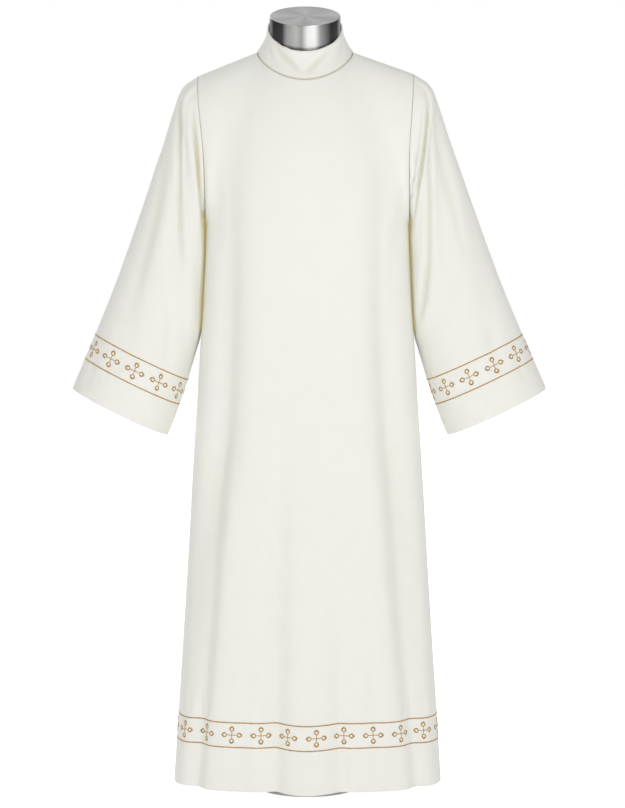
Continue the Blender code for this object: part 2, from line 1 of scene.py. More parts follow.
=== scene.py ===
"""Alb robe on a dress form: its cloth, embroidery, zip and stand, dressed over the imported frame.

Metres, +Z up. The robe's front faces -Y, the wearer's right is at -X and the floor is z = 0.
"""
import logging
import math
from collections.abc import Iterable, Sequence
from dataclasses import dataclass, field
from enum import Enum
from typing import Any, NamedTuple

import bmesh
import bpy
import numpy as np
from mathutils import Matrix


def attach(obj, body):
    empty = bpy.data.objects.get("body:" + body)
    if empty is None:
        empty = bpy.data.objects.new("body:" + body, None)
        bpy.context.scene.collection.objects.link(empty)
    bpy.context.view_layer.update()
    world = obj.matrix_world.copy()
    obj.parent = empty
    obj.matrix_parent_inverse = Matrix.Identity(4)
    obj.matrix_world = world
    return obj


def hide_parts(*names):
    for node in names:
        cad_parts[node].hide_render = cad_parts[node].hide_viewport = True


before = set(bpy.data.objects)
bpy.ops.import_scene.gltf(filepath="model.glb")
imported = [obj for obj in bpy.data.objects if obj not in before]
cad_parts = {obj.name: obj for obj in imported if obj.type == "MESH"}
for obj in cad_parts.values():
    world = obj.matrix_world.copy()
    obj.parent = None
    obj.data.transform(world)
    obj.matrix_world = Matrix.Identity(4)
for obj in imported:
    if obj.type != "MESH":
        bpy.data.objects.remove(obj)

Array = np.ndarray
Material = bpy.types.Material
Piece = bpy.types.Object
Socket = bpy.types.NodeSocket
Tree = bpy.types.NodeTree
Faces = list[tuple[int, ...]]
LOG = logging.getLogger("alb_robe")
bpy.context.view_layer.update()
MM = 0.001


class Edge(Enum):
    """An edge of a cloth grid."""

    LOW = "low"
    HIGH = "high"
    FIRST = "first"
    LAST = "last"


class Face(Enum):
    """The front or the back of the robe, as the sign of its direction towards the camera."""

    FRONT = 1
    BACK = -1


class Side(Enum):
    """The wearer's right or left, as the sign of x."""

    RIGHT = -1
    LEFT = 1


def smooth_step(t: Array | float) -> Array | float:
    """Ease from 0 to 1.

    Args:
        t: Place, clipped to 0 to 1.

    Returns:
        The eased place.
    """
    t = np.clip(t, 0.0, 1.0)
    return t * t * (3.0 - 2.0 * t)


def read_rows(rows: Sequence[Sequence[float]] | Array, places: Array) -> Array:
    """Catmull-Rom reading of a table of rows.

    Args:
        rows: The table, one row for each whole place.
        places: Places from 0 to the last row's number.

    Returns:
        One row for each place.
    """
    table = np.array(rows, dtype=float)
    last = len(table) - 1
    places = np.atleast_1d(np.asarray(places, dtype=float))
    low = np.clip(np.floor(places).astype(int), 0, last - 1)
    t = (places - low)[:, None]
    padded = np.vstack([2 * table[0] - table[1], table, 2 * table[-1] - table[-2]])
    before, start, end, after = (padded[low + k] for k in range(4))
    return 0.5 * (
        2 * start
        + (end - before) * t
        + (2 * before - 5 * start + 4 * end - after) * t**2
        + (3 * start - before - 3 * end + after) * t**3
    )


def unit(vectors: Array) -> Array:
    """Vectors along the last axis, made one long."""
    return vectors / (np.linalg.norm(vectors, axis=-1, keepdims=True) + 1e-12)


def arc_lengths(points: Array, axis: int) -> Array:
    """Running length along an axis of a grid of points, from 0.

    Args:
        points: Grid whose last axis holds x, y and z.
        axis: The axis to run along.

    Returns:
        The running lengths, one for each point.
    """
    steps = np.linalg.norm(np.diff(points, axis=axis), axis=-1)
    start = np.zeros_like(np.take(steps, [0], axis=axis))
    return np.concatenate([start, np.cumsum(steps, axis=axis)], axis=axis)


def grid_normals(grid: Array, hearts: Array, wrap: bool = False) -> Array:
    """Unit normals of a grid of points, turned away from each row's heart.

    Args:
        grid: Rows by columns of points.
        hearts: One point inside for each row.
        wrap: Whether the last column joins the first.

    Returns:
        The normals.
    """
    if wrap:
        along = np.roll(grid, -1, axis=1) - np.roll(grid, 1, axis=1)
    else:
        along = np.gradient(grid, axis=1)
    normals = unit(np.cross(along, np.gradient(grid, axis=0)))
    outward = np.sum(normals * (grid - hearts[:, None, :]))
    return normals if outward > 0 else -normals


def row_hearts(grid: Array) -> Array:
    """Points on the stand's axis at each row's mean height."""
    heights = grid[:, :, 2].mean(axis=1)
    return np.stack([np.zeros_like(heights), np.zeros_like(heights), heights], axis=1)


class BodyLevel(NamedTuple):
    """A level section of the robe's body: half width, depths and how square each face is."""

    height: float
    half_width: float
    front: float
    back: float
    front_square: float
    back_square: float


class SleeveSection(NamedTuple):
    """A section across a sleeve, from its outer edge line to its underarm line."""

    outer_x: float
    outer_z: float
    inner_x: float
    inner_z: float
    front: float
    back: float


class CollarLoop(NamedTuple):
    """A loop round the neck, with its heights at front, side and back."""

    half_width: float
    half_depth: float
    centre_y: float
    front_z: float
    side_z: float
    back_z: float
    round_front: float = 0.0


class Fold(NamedTuple):
    """A large soft fold from its top to its low end, out of the cloth where its depth is positive."""

    x_top: float
    z_top: float
    x_low: float
    z_low: float
    bow: float
    mid_depth: float
    low_depth: float
    width: float

    def push(self, x: Array, z: Array) -> Array:
        """How far the fold moves the cloth outwards at places of the front view.

        Args:
            x: Places across the front view.
            z: Their heights.

        Returns:
            The push at each place.
        """
        s = (self.z_top - z) / (self.z_top - self.z_low)
        inside = (s > 0) & (s <= 1.001)
        s = np.clip(s, 0.0, 1.0)
        centre = self.x_top + (self.x_low - self.x_top) * s + 4 * self.bow * s * (1 - s)
        depth = self.mid_depth * 4 * s * (1 - s) + self.low_depth * s * (2 * s - 1)
        return np.where(inside, depth * np.exp(-(((x - centre) / self.width) ** 2)), 0.0)


@dataclass(frozen=True)
class Crease:
    """A narrow trough or ridge through given points, fading at both ends.

    Its path is x and height of each point in turn, in millimetres.
    """

    depth_mm: float
    width_mm: float
    path_mm: tuple[int, ...]
    shoulder: float = 0.3
    shoulder_place: float = 1.9
    taper: float = 0.7
    reach_widths: float = 4.0

    def push(self, x: Array, z: Array) -> Array:
        """How far the crease moves the cloth outwards at places of the front view.

        Args:
            x: Places across the front view.
            z: Their heights.

        Returns:
            The push at each place.
        """
        table = np.array(self.path_mm, dtype=float).reshape(-1, 2) / 1000
        path = read_rows(table, np.linspace(0, len(table) - 1, 8 * len(table)))
        width = self.width_mm * MM
        reach = self.reach_widths * width
        low, high = path.min(axis=0) - reach, path.max(axis=0) + reach
        near = (x > low[0]) & (x < high[0]) & (z > low[1]) & (z < high[1])
        push = np.zeros_like(x)
        if not near.any():
            return push
        spots = np.stack([x[near], z[near]], axis=1)
        best = np.full(len(spots), 1e9)
        share = np.zeros(len(spots))
        count = len(path) - 1
        for index in range(count):
            start, step = path[index], path[index + 1] - path[index]
            t = np.clip((spots - start) @ step / (step @ step + 1e-12), 0.0, 1.0)
            away = np.linalg.norm(spots - start - t[:, None] * step, axis=1)
            closer = away < best
            best = np.where(closer, away, best)
            share = np.where(closer, (index + t) / count, share)
        profile = np.exp(-((best / width) ** 2))
        beside = (best - self.shoulder_place * width) / width
        profile -= self.shoulder * np.exp(-(beside**2))
        push[near] = self.depth_mm * MM * profile * np.sin(math.pi * share) ** self.taper
        return push


def total_push(marks: Iterable[Fold | Crease], x: Array, z: Array) -> Array:
    """Sum of what folds and creases do at places of the front view."""
    return sum((mark.push(x, z) for mark in marks), np.zeros_like(x))


BODY_LEVELS = (
    BodyLevel(0.016, 0.2550, 0.128, 0.150, 2.70, 2.40),
    BodyLevel(0.145, 0.2470, 0.128, 0.147, 2.65, 2.38),
    BodyLevel(0.350, 0.2335, 0.127, 0.141, 2.60, 2.36),
    BodyLevel(0.600, 0.2176, 0.126, 0.134, 2.50, 2.32),
    BodyLevel(0.816, 0.2036, 0.126, 0.128, 2.40, 2.30),
    BodyLevel(0.900, 0.1985, 0.126, 0.126, 2.40, 2.30),
    BodyLevel(0.980, 0.1945, 0.126, 0.124, 2.40, 2.30),
    BodyLevel(1.071, 0.1910, 0.126, 0.121, 2.40, 2.30),
)
SLEEVE_SECTIONS = (
    SleeveSection(0.2032, 1.3490, 0.1910, 1.0710, 0.064, 0.066),
    SleeveSection(0.2345, 1.3270, 0.1965, 1.0420, 0.067, 0.068),
    SleeveSection(0.2505, 1.2866, 0.1990, 1.0150, 0.069, 0.069),
    SleeveSection(0.2684, 1.2303, 0.2005, 0.9790, 0.070, 0.070),
    SleeveSection(0.2880, 1.1740, 0.2016, 0.9400, 0.071, 0.071),
    SleeveSection(0.3075, 1.1178, 0.2027, 0.9000, 0.073, 0.072),
    SleeveSection(0.3343, 1.0425, 0.2050, 0.8560, 0.075, 0.074),
    SleeveSection(0.3621, 0.9671, 0.2190, 0.8050, 0.078, 0.077),
    SleeveSection(0.3928, 0.8915, 0.2345, 0.7550, 0.081, 0.081),
    SleeveSection(0.4255, 0.8157, 0.2520, 0.7060, 0.084, 0.084),
    SleeveSection(0.4485, 0.7635, 0.2650, 0.6751, 0.086, 0.086),
)
COLLAR_BASE = CollarLoop(0.0900, 0.0800, -0.0010, 1.3380, 1.3935, 1.4050)
COLLAR_TOP = CollarLoop(0.0704, 0.0665, -0.0040, 1.3895, 1.4395, 1.4620, 0.00205)

FRONT_FOLDS = (
    Fold(-0.139, 1.22, -0.216, 0.016, 0.0124, -0.007, -0.015, 0.018),
    Fold(-0.052, 0.87, -0.060, 0.016, 0.0060, -0.004, -0.009, 0.016),
    Fold(0.002, 0.80, -0.001, 0.016, 0.0, 0.007, 0.021, 0.045),
    Fold(0.060, 0.58, 0.062, 0.016, 0.0, -0.002, -0.006, 0.016),
    Fold(0.133, 1.20, 0.212, 0.016, -0.0152, -0.007, -0.014, 0.018),
)
BACK_FOLDS = (
    Fold(-0.128, 1.20, -0.196, 0.016, 0.010, -0.008, -0.017, 0.020),
    Fold(-0.088, 0.98, -0.128, 0.016, 0.006, 0.006, 0.015, 0.026),
    Fold(-0.048, 1.02, -0.070, 0.016, 0.004, -0.006, -0.014, 0.020),
    Fold(0.004, 0.86, 0.006, 0.016, 0.0, 0.006, 0.016, 0.042),
    Fold(0.056, 0.96, 0.082, 0.016, -0.004, -0.006, -0.013, 0.020),
    Fold(0.096, 1.00, 0.140, 0.016, -0.005, 0.006, 0.013, 0.026),
    Fold(0.126, 1.21, 0.200, 0.016, -0.010, -0.008, -0.016, 0.020),
)
SLEEVE_FOLDS = {
    (Side.RIGHT, Face.FRONT): (
        Fold(-0.238, 1.290, -0.246, 0.960, 0.004, -0.009, 0.0, 0.019),
        Fold(-0.296, 1.180, -0.342, 0.800, -0.006, -0.005, -0.002, 0.024),
    ),
    (Side.LEFT, Face.FRONT): (
        Fold(0.236, 1.290, 0.262, 0.930, 0.004, -0.009, 0.0, 0.019),
        Fold(0.300, 1.150, 0.352, 0.800, 0.004, -0.004, -0.002, 0.024),
    ),
    (Side.RIGHT, Face.BACK): (
        Fold(-0.236, 1.270, -0.250, 0.940, 0.003, -0.010, 0.0, 0.021),
        Fold(-0.290, 1.140, -0.338, 0.790, -0.004, -0.005, -0.002, 0.026),
    ),
    (Side.LEFT, Face.BACK): (
        Fold(0.240, 1.280, 0.256, 0.950, -0.003, -0.010, 0.0, 0.021),
        Fold(0.302, 1.160, 0.346, 0.810, 0.004, -0.005, -0.002, 0.026),
    ),
}

FRONT_CREASES = (
    Crease(
        -13.0, 26,
        (
            -152, 1230, -146, 1050, -147, 850, -155, 690, -173, 600,
            -194, 486, -208, 375, -217, 262, -226, 186, -236, 90,
        ), 0.15,
    ),
    Crease(
        -11.5, 26,
        (
            141, 1230, 139, 1050, 141, 850, 152, 690, 165, 600,
            179, 486, 187, 375, 196, 280, 204, 186, 214, 90,
        ), 0.15,
    ),
    Crease(-5.5, 23, (-54, 640, -60, 480, -64, 300, -68, 150, -70, 5), 0.15),
    Crease(-2.0, 9, (-172, 1206, -169, 1115, -172, 1005)),
    Crease(-1.6, 9, (187, 1150, 172, 1085, 163, 990, 165, 880)),
    Crease(-2.0, 12, (53, 374, 56, 186, 60, 10)),
    Crease(-3.0, 8, (-232, 600, -240, 300, -246, 10)),
    Crease(-2.8, 8, (229, 620, 237, 310, 243, 10)),
    Crease(-2.0, 12, (-112, 300, -116, 170, -124, 5)),
    Crease(-1.8, 12, (118, 320, 122, 180, 128, 5)),
    Crease(-1.6, 4, (-206, 195, -208, 168, -210, 146)),
    Crease(-1.8, 5, (-226, 215, -227, 176, -229, 147)),
    Crease(-1.2, 4, (-190, 180, -191, 162, -192, 146)),
    Crease(-1.3, 4, (-240, 190, -240, 166, -241, 146)),
    Crease(-1.5, 4, (198, 190, 200, 166, 201, 147)),
    Crease(-1.7, 5, (219, 210, 222, 172, 224, 146)),
    Crease(-1.1, 4, (184, 176, 185, 160, 186, 147)),
    Crease(-1.2, 4, (236, 186, 237, 164, 238, 147)),
    Crease(-0.6, 12, (-68, 1352, -90, 1318, -103, 1262)),
    Crease(-0.5, 12, (60, 1350, 80, 1316, 94, 1255)),
)
BACK_CREASES = (
    Crease(-2.2, 9, (-186, 1170, -168, 1090, -160, 980, -164, 860)),
    Crease(-2.0, 9, (184, 1160, 168, 1080, 158, 960, 163, 850)),
    Crease(-3.2, 9, (-234, 560, -241, 300, -243, 10)),
    Crease(-3.4, 8, (232, 500, 238, 290, 241, 10)),
    Crease(-2.6, 12, (-30, 620, -36, 320, -40, 5)),
    Crease(-2.2, 12, (34, 560, 40, 300, 46, 5)),
    Crease(-1.4, 12, (-120, 1300, -105, 1240, -98, 1150)),
    Crease(-1.2, 12, (112, 1296, 100, 1230, 92, 1160)),
)
SLEEVE_CREASES = {
    (Side.RIGHT, Face.FRONT): (
        Crease(-8.0, 3.8, (-220, 1300, -209, 1227, -202, 1171, -196, 1107, -193, 1030), 0.2),
        Crease(3.5, 6, (-223, 1304, -225, 1264, -220, 1208, -210, 1144, -203, 1080), 0.2),
        Crease(-5.5, 4.5, (-238, 1316, -243, 1232, -241, 1153, -234, 1042, -228, 980), 0.25),
        Crease(-4.0, 12, (-250, 1290, -264, 1190, -282, 1088, -305, 1001, -330, 900), 0.2),
        Crease(3.0, 4.5, (-202, 1332, -215, 1325, -227, 1313, -234, 1290, -236, 1250), 0.4),
        Crease(-2.6, 5, (-242, 1306, -246, 1254, -250, 1180)),
        Crease(-3.0, 7, (-208, 1023, -203, 949, -207, 884, -213, 840)),
        Crease(-2.0, 10, (-262, 930, -262, 850, -268, 780)),
        Crease(-1.6, 6, (-390, 835, -404, 800, -414, 768)),
        Crease(-1.2, 5, (-360, 832, -370, 806, -378, 780)),
        Crease(-1.4, 5, (-268, 800, -272, 782, -278, 762)),
    ),
    (Side.LEFT, Face.FRONT): (
        Crease(-7.0, 3.4, (225, 1319, 224, 1264, 217, 1208, 204, 1134, 192, 1045), 0.3),
        Crease(2.6, 5, (212, 1315, 215, 1278, 208, 1218, 197, 1144), 0.2),
        Crease(-3.0, 3.2, (213, 1300, 207, 1236, 198, 1171, 193, 1116), 0.2),
        Crease(-4.5, 6, (230, 1280, 229, 1190, 226, 1060, 221, 949, 209, 870), 0.2),
        Crease(-3.8, 9, (234, 1316, 247, 1227, 269, 1116, 299, 986), 0.2),
        Crease(3.0, 4.5, (202, 1338, 217, 1331, 229, 1315, 234, 1286, 236, 1240), 0.4),
        Crease(-2.2, 3.5, (189, 1149, 197, 1157, 208, 1175)),
        Crease(-2.0, 3.5, (190, 1120, 197, 1131, 206, 1147)),
        Crease(-1.6, 3.5, (191, 1180, 198, 1190, 206, 1204)),
        Crease(-3.5, 6, (219, 1005, 213, 930, 203, 865)),
        Crease(-1.8, 11, (330, 900, 344, 850, 356, 790)),
        Crease(-1.5, 6, (386, 838, 396, 806, 404, 780)),
        Crease(-1.4, 5, (262, 792, 268, 772, 272, 758)),
    ),
    (Side.RIGHT, Face.BACK): (
        Crease(-2.6, 8, (-226, 1300, -232, 1220, -230, 1120, -226, 1020)),
        Crease(-2.2, 5, (-204, 1325, -216, 1310, -226, 1285)),
        Crease(-2.2, 11, (-280, 1060, -300, 980, -318, 890)),
        Crease(-1.8, 10, (-240, 930, -246, 850, -262, 770)),
    ),
    (Side.LEFT, Face.BACK): (
        Crease(-2.6, 8, (222, 1305, 228, 1230, 232, 1130, 228, 1030)),
        Crease(-2.2, 5, (198, 1328, 212, 1314, 222, 1290)),
        Crease(-2.0, 11, (290, 1080, 306, 1000, 322, 910)),
        Crease(-1.8, 10, (240, 950, 244, 870, 258, 790)),
    ),
}
# On the collar x is the run round the neck from the centre front, and z the rise from its seam
COLLAR_CREASES = (
    Crease(-3.2, 8, (-86, 51, -50, 37, -25, 27, 0, 10), 0.15),
    Crease(-2.8, 8, (64, 46, 31, 34, 10, 20, 2, 8), 0.15),
    Crease(-0.9, 4, (-62, 54, -40, 46, -18, 38)),
    Crease(-1.1, 5, (-100, 34, -78, 20, -56, 8)),
    Crease(-0.9, 5, (104, 34, 84, 20, 60, 8)),
    Crease(-1.0, 6, (-190, 44, -170, 26, -150, 10)),
    Crease(-1.0, 6, (186, 42, 168, 26, 146, 12)),
)
# How far the shoulders' cloth lies from an even slope: x, rise and sideways shift, in millimetres
SHOULDER_SETTLE = (
    (-260, 0.0, 0.0),
    (-235, 0.0, 2.6),
    (-205, 0.0, 1.8),
    (-150, 0.0, 0.0),
    (80, 0.0, 0.0),
    (125, 1.5, 0.0),
    (180, 4.2, 0.0),
    (205, 4.5, 0.0),
    (222, 3.6, 0.0),
    (237, 1.6, 0.0),
    (260, 0.0, 0.0),
)


@dataclass(frozen=True)
class RobePattern:
    """The robe's surfaces, as the outer points of each cut piece."""

    underarm_height: float = 1.071
    shoulder_height: float = 1.349
    shoulder_half_width: float = 0.2032
    underarm_half_width: float = 0.191
    armhole_front_depth: float = 0.064
    armhole_back_depth: float = 0.066
    neck_lean: float = -0.0045
    lean_rise: tuple[float, float] = (1.08, 0.24)
    settle_rise: tuple[float, float] = (1.14, 0.13)
    widening_rise: tuple[float, float] = (0.35, 0.65)
    centre_pull: float = 0.27
    shoulder_pull: tuple[float, float] = (0.11, 0.25)
    hem_height: float = 0.016
    hem_drop_per_push: float = 0.08
    hem_drop_reach: float = 0.25
    cuff_reach: float = 0.0035
    underarm_gap: float = 0.0005
    held_fade: float = 0.022
    inner_square: float = 0.45
    push_from: float = 0.03
    dense_share: float = 0.68
    dense_from: tuple[float, float] = (0.22, 0.08)
    dense_to: tuple[float, float] = (0.52, 0.05)
    # Share of each body crease's depth that goes into painted shade
    body_crease_shade: float = 0.22
    # Painted shade in the narrow gap where sleeve and body meet, as a push
    contact_shade_push: float = 0.011
    contact_reach: float = 0.006
    contact_half_width: float = 0.186
    contact_columns: float = 0.07
    pinch_low: float = 0.835
    pinch_fade: float = 0.05
    shade_top: float = 1.104
    shade_fade: float = 0.03
    fine_rows: tuple[float, float] = (0.175, 0.0035)
    coarse_rows: tuple[float, int] = (0.178, 84)
    corner_columns: float = 9.0
    corner_rows: int = 16
    corner_passes: int = 60
    sleeve_row_spread: float = 1.15
    neck_columns: int = 56
    shoulder_columns: int = 42
    armhole_rows: int = 72
    sleeve_rows: int = 150
    sleeve_columns: int = 220
    collar_rows: int = 16
    collar_columns: int = 192

    def lean(self, height: Array | float) -> Array | float:
        """How far the neck and shoulders stand to the wearer's right at a height."""
        start, over = self.lean_rise
        return self.neck_lean * smooth_step((height - start) / over)

    def shares(self) -> Array:
        """Share of the half section's length at each column, centre to side."""
        return np.linspace(0.0, 1.0, self.neck_columns + self.shoulder_columns + 1)

    def loop_height(self, loop: CollarLoop, angle: Array) -> Array:
        """Height of a loop at angles from its front.

        Args:
            loop: The loop.
            angle: Angles from its front.

        Returns:
            The heights.
        """
        swing = (loop.front_z - loop.back_z) / 2
        mean = ((loop.front_z + loop.back_z) / 2 + loop.side_z) / 2
        dips = (mean - loop.side_z) * np.cos(2 * angle) + loop.round_front * np.cos(3 * angle)
        return mean + (swing - loop.round_front) * np.cos(angle) + dips

    def loop(self, loop: CollarLoop, angle: Array) -> Array:
        """Points of a loop at angles from its front, positive towards +X.

        Args:
            loop: The loop.
            angle: Angles from its front.

        Returns:
            The points.
        """
        height = self.loop_height(loop, angle)
        x = loop.half_width * np.sin(angle) + self.lean(height)
        return np.stack([x, loop.centre_y - loop.half_depth * np.cos(angle), height], axis=-1)

    def armhole(self, side: Side, angle: Array) -> Array:
        """Armhole seam points: angle 0 at the shoulder, pi at the underarm, positive through the front.

        Args:
            side: The wearer's side.
            angle: Angles round the armhole.

        Returns:
            The points.
        """
        rise = 0.5 * (1 + np.cos(angle))
        height = self.underarm_height + (self.shoulder_height - self.underarm_height) * rise
        widening = self.shoulder_half_width - self.underarm_half_width
        start, over = self.widening_rise
        reach = self.underarm_half_width + widening * smooth_step((rise - start) / over)
        depth = np.where(np.sin(angle) >= 0, self.armhole_front_depth, self.armhole_back_depth)
        return np.stack([side.value * reach + self.lean(height), -depth * np.sin(angle), height], axis=-1)

    def settle(self, grid: Array) -> Array:
        """Lay the shoulders' cloth as it hangs, a little higher on the wearer's left.

        Args:
            grid: Rows by columns of points.

        Returns:
            The moved points.
        """
        table = np.array(SHOULDER_SETTLE)
        start, over = self.settle_rise
        weight = smooth_step((grid[:, :, 2] - start) / over)
        moved = grid.copy()
        moved[:, :, 0] += weight * np.interp(grid[:, :, 0] / MM, table[:, 0], table[:, 2]) * MM
        moved[:, :, 2] += weight * np.interp(grid[:, :, 0] / MM, table[:, 0], table[:, 1]) * MM
        return moved

    def soften_neck_corners(self, grid: Array) -> None:
        """Even out the cloth under the corners where neckline and shoulder meet.

        Args:
            grid: Rows by columns of points.
        """
        columns = np.arange(grid.shape[1])
        middle = grid.shape[1] // 2
        corners = (middle + side.value * self.neck_columns for side in Side)
        near = sum(np.exp(-(((columns - corner) / self.corner_columns) ** 2)) for corner in corners)
        down = (len(grid) - 1 - np.arange(len(grid))) / self.corner_rows
        weight = (smooth_step(down) * (np.arange(len(grid)) > len(grid) - self.armhole_rows))[:, None] * near
        for _ in range(self.corner_passes):
            level = (grid[1:-1, :-2] + grid[1:-1, 2:] + grid[:-2, 1:-1] + grid[2:, 1:-1]) / 4
            grid[1:-1, 1:-1] += 0.7 * weight[1:-1, 1:-1, None] * (level - grid[1:-1, 1:-1])

    def skirt(self, heights: Array, face: Face) -> Array:
        """Half rows of the skirt, centre to side, for the +X side.

        Args:
            heights: Height of each row.
            face: Front or back.

        Returns:
            Rows by columns of points.
        """
        dense = np.linspace(0, len(BODY_LEVELS) - 1, 1401)
        places = np.interp(heights, read_rows(BODY_LEVELS, dense)[:, 0], dense)
        angle = np.linspace(0.0, math.pi / 2, 361)
        rows = []
        for values in read_rows(BODY_LEVELS, places):
            level = BodyLevel(*values)
            front = face is Face.FRONT
            depth, square = (level.front, level.front_square) if front else (level.back, level.back_square)
            wide, deep = (np.sin(angle) / level.half_width) ** square, (np.cos(angle) / depth) ** square
            radius = (wide + deep) ** (-1 / square)
            points = np.stack([radius * np.sin(angle), -face.value * radius * np.cos(angle)], axis=1)
            run = arc_lengths(points, 0)
            at = self.shares() * run[-1]
            columns = [np.interp(at, run, points[:, axis]) for axis in range(2)]
            rows.append(np.stack([*columns, np.full(len(at), level.height)], axis=1))
        return np.array(rows)

    def bodice(self, face: Face, side: Side) -> Array:
        """Half rows above the underarm, centre to armhole.

        Args:
            face: Front or back.
            side: The wearer's side.

        Returns:
            Rows by columns of points, without the row at the underarm.
        """
        start = self.skirt(np.array([self.underarm_height]), face)[0] * np.array([side.value, 1.0, 1.0])
        turn = np.arange(self.neck_columns + 1) / self.neck_columns
        angle = side.value * turn * math.pi / 2
        neck = self.loop(COLLAR_BASE, angle if face is Face.FRONT else side.value * math.pi - angle)
        share = (np.arange(self.shoulder_columns) + 1)[:, None] / self.shoulder_columns
        tip = self.armhole(side, np.array(0.0))
        end = np.concatenate([neck, neck[-1] + (tip - neck[-1]) * share])
        across = 4 * (self.armhole_front_depth if face is Face.FRONT else self.armhole_back_depth)
        roll = np.array([0.0, face.value * across, 0.0])
        rise = np.array([0.0, 0.0, self.centre_pull])
        inwards, upwards = self.shoulder_pull
        slope = np.array([0.0, face.value * inwards, upwards])
        bend = np.concatenate([turn, np.ones(self.shoulder_columns)])[:, None]
        end_pull = slope + (roll - slope) * bend**2
        edge = smooth_step((self.shares() - 0.5) / 0.5)[:, None]
        start_pull = rise + (-roll - rise) * edge**2
        t = (np.arange(self.armhole_rows) + 1)[:, None, None] / self.armhole_rows
        points = (
            (2 * t**3 - 3 * t**2 + 1) * start
            + (t**3 - 2 * t**2 + t) * start_pull
            + (3 * t**2 - 2 * t**3) * end
            + (t**3 - t**2) * end_pull
        )
        seam = self.armhole(side, face.value * math.pi * (1 - t[:, 0, 0]))
        weights = smooth_step((self.shares() - 0.4) / 0.6) ** 2
        return points + weights[None, :, None] * (seam - points[:, -1])[:, None, :]

    def panel(self, face: Face) -> tuple[Array, Array]:
        """The whole front or back, hem to neck, as seen from outside.

        Args:
            face: Front or back.

        Returns:
            The grid of outer points, and at each the push that sets its painted shade: part of the creases'
            depth, and the gap beside each sleeve.
        """
        low = np.arange(self.hem_height, *self.fine_rows)
        start, count = self.coarse_rows
        high = np.linspace(start, self.underarm_height, count)
        half = self.skirt(np.concatenate([low, high]), face)
        right = np.concatenate([half * np.array([-1.0, 1.0, 1.0]), self.bodice(face, Side.RIGHT)])
        left = np.concatenate([half, self.bodice(face, Side.LEFT)])
        grid = np.concatenate([right[:, ::-1], left[:, 1:]], axis=1)
        if face is Face.BACK:
            grid = grid[:, ::-1].copy()
        self.soften_neck_corners(grid)
        normals = grid_normals(grid, row_hearts(grid))
        fade = 1 - np.abs(np.linspace(-1.0, 1.0, grid.shape[1])) ** 8
        folds, creases = (FRONT_FOLDS, FRONT_CREASES) if face is Face.FRONT else (BACK_FOLDS, BACK_CREASES)
        x, z = grid[:, :, 0], grid[:, :, 2]
        push = total_push(folds, x, z) * fade
        crease_push = total_push(creases, x, z) * fade
        grid = grid + normals * (push + crease_push)[:, :, None]
        near_hem = 1 - smooth_step((grid[:, :, 2] - self.hem_height) / self.hem_drop_reach)
        grid[:, :, 2] -= self.hem_drop_per_push * push * near_hem
        # Painted shade: part of each crease's depth, and the strip beside each sleeve under the armhole
        aside = np.abs(np.linspace(-1, 1, x.shape[1])) - (1 - self.contact_columns)
        beside = np.where(np.abs(x) > self.contact_half_width, self.shaded(z), 0.0)
        contact = beside * smooth_step(aside / self.contact_columns)
        return self.settle(grid), crease_push * self.body_crease_shade - self.contact_shade_push * contact

    def held(self, height: Array) -> Array:
        """How far a sleeve's inner edge lies against the body at a height, from 0 to 1."""
        return smooth_step((self.underarm_height - height) / self.held_fade) * self.above_pinch(height)

    def round_sleeve(self) -> Array:
        """Angles round a sleeve from its top edge, closest together at the front near the body.

        Returns:
            The angles.
        """
        turn = np.linspace(0.0, 1.0, 2001)
        (start, opening), (end, closing) = self.dense_from, self.dense_to
        dense = self.dense_share * smooth_step((turn - start) / opening)
        spacing = 1.0 - dense * smooth_step((end - turn) / closing)
        travel = np.concatenate([[0.0], np.cumsum((1 / spacing[1:] + 1 / spacing[:-1]) / 2)])
        steps = np.arange(self.sleeve_columns) / self.sleeve_columns
        return 2 * math.pi * np.interp(steps, travel / travel[-1], turn)

    def shaded(self, height: Array) -> Array:
        """How strong the painted shade in the narrow gap between sleeve and body is at a height, from 0 to
        1.
        """
        return smooth_step((self.shade_top - height) / self.shade_fade) * self.above_pinch(height)

    def above_pinch(self, height: Array) -> Array:
        """Whether a height is above the place where a sleeve leaves the body, eased from 0 to 1."""
        return smooth_step((height - self.pinch_low) / self.pinch_fade)

    def sleeve(self, side: Side) -> tuple[Array, Array, Array]:
        """A sleeve, armhole to cuff, round from the top edge through the front.

        Args:
            side: The wearer's side.

        Returns:
            The grid of outer points, the push that sets the painted shade at each (creases and the gap
            beside the body), and a point inside for each row.
        """
        share = np.linspace(0.0, 1.0, self.sleeve_rows + 1)
        last = len(SLEEVE_SECTIONS) - 1
        sections = read_rows(SLEEVE_SECTIONS, last * share**self.sleeve_row_spread)
        reach = side.value * self.cuff_reach * share ** (2 * self.sleeve_row_spread)
        nothing = np.zeros_like(share)
        levels = np.array(BODY_LEVELS)
        body = np.interp(sections[:, 3], levels[:, 0], levels[:, 1])
        held = self.held(sections[:, 3])
        sections[:, 2] += (body + self.underarm_gap - sections[:, 2]) * held
        outer = np.stack([side.value * (sections[:, 0] + reach), nothing, sections[:, 1]], axis=1)
        inner = np.stack([side.value * sections[:, 2], nothing, sections[:, 3]], axis=1)
        angle = self.round_sleeve()
        middle, half = (outer + inner) / 2, (outer - inner) / 2
        grid = middle[:, None, :] + half[:, None, :] * np.cos(angle)[None, :, None]
        front = np.sin(angle) >= 0
        depth = np.where(front[None, :], sections[:, 4:5], sections[:, 5:6])
        inward = np.sqrt(np.clip(-np.cos(angle), 0.0, 1.0))[None, :] * held[:, None]
        power = 1 - self.inner_square * inward
        grid[:, :, 1] -= depth * np.sign(np.sin(angle)) * np.abs(np.sin(angle)) ** power
        seam = self.armhole(side, np.where(angle <= math.pi, angle, angle - 2 * math.pi))
        grid = grid + ((1 - share) ** 4)[:, None, None] * (seam - grid[0])[None]
        normals = grid_normals(grid, middle, wrap=True)
        x, z = grid[:, :, 0], grid[:, :, 2]
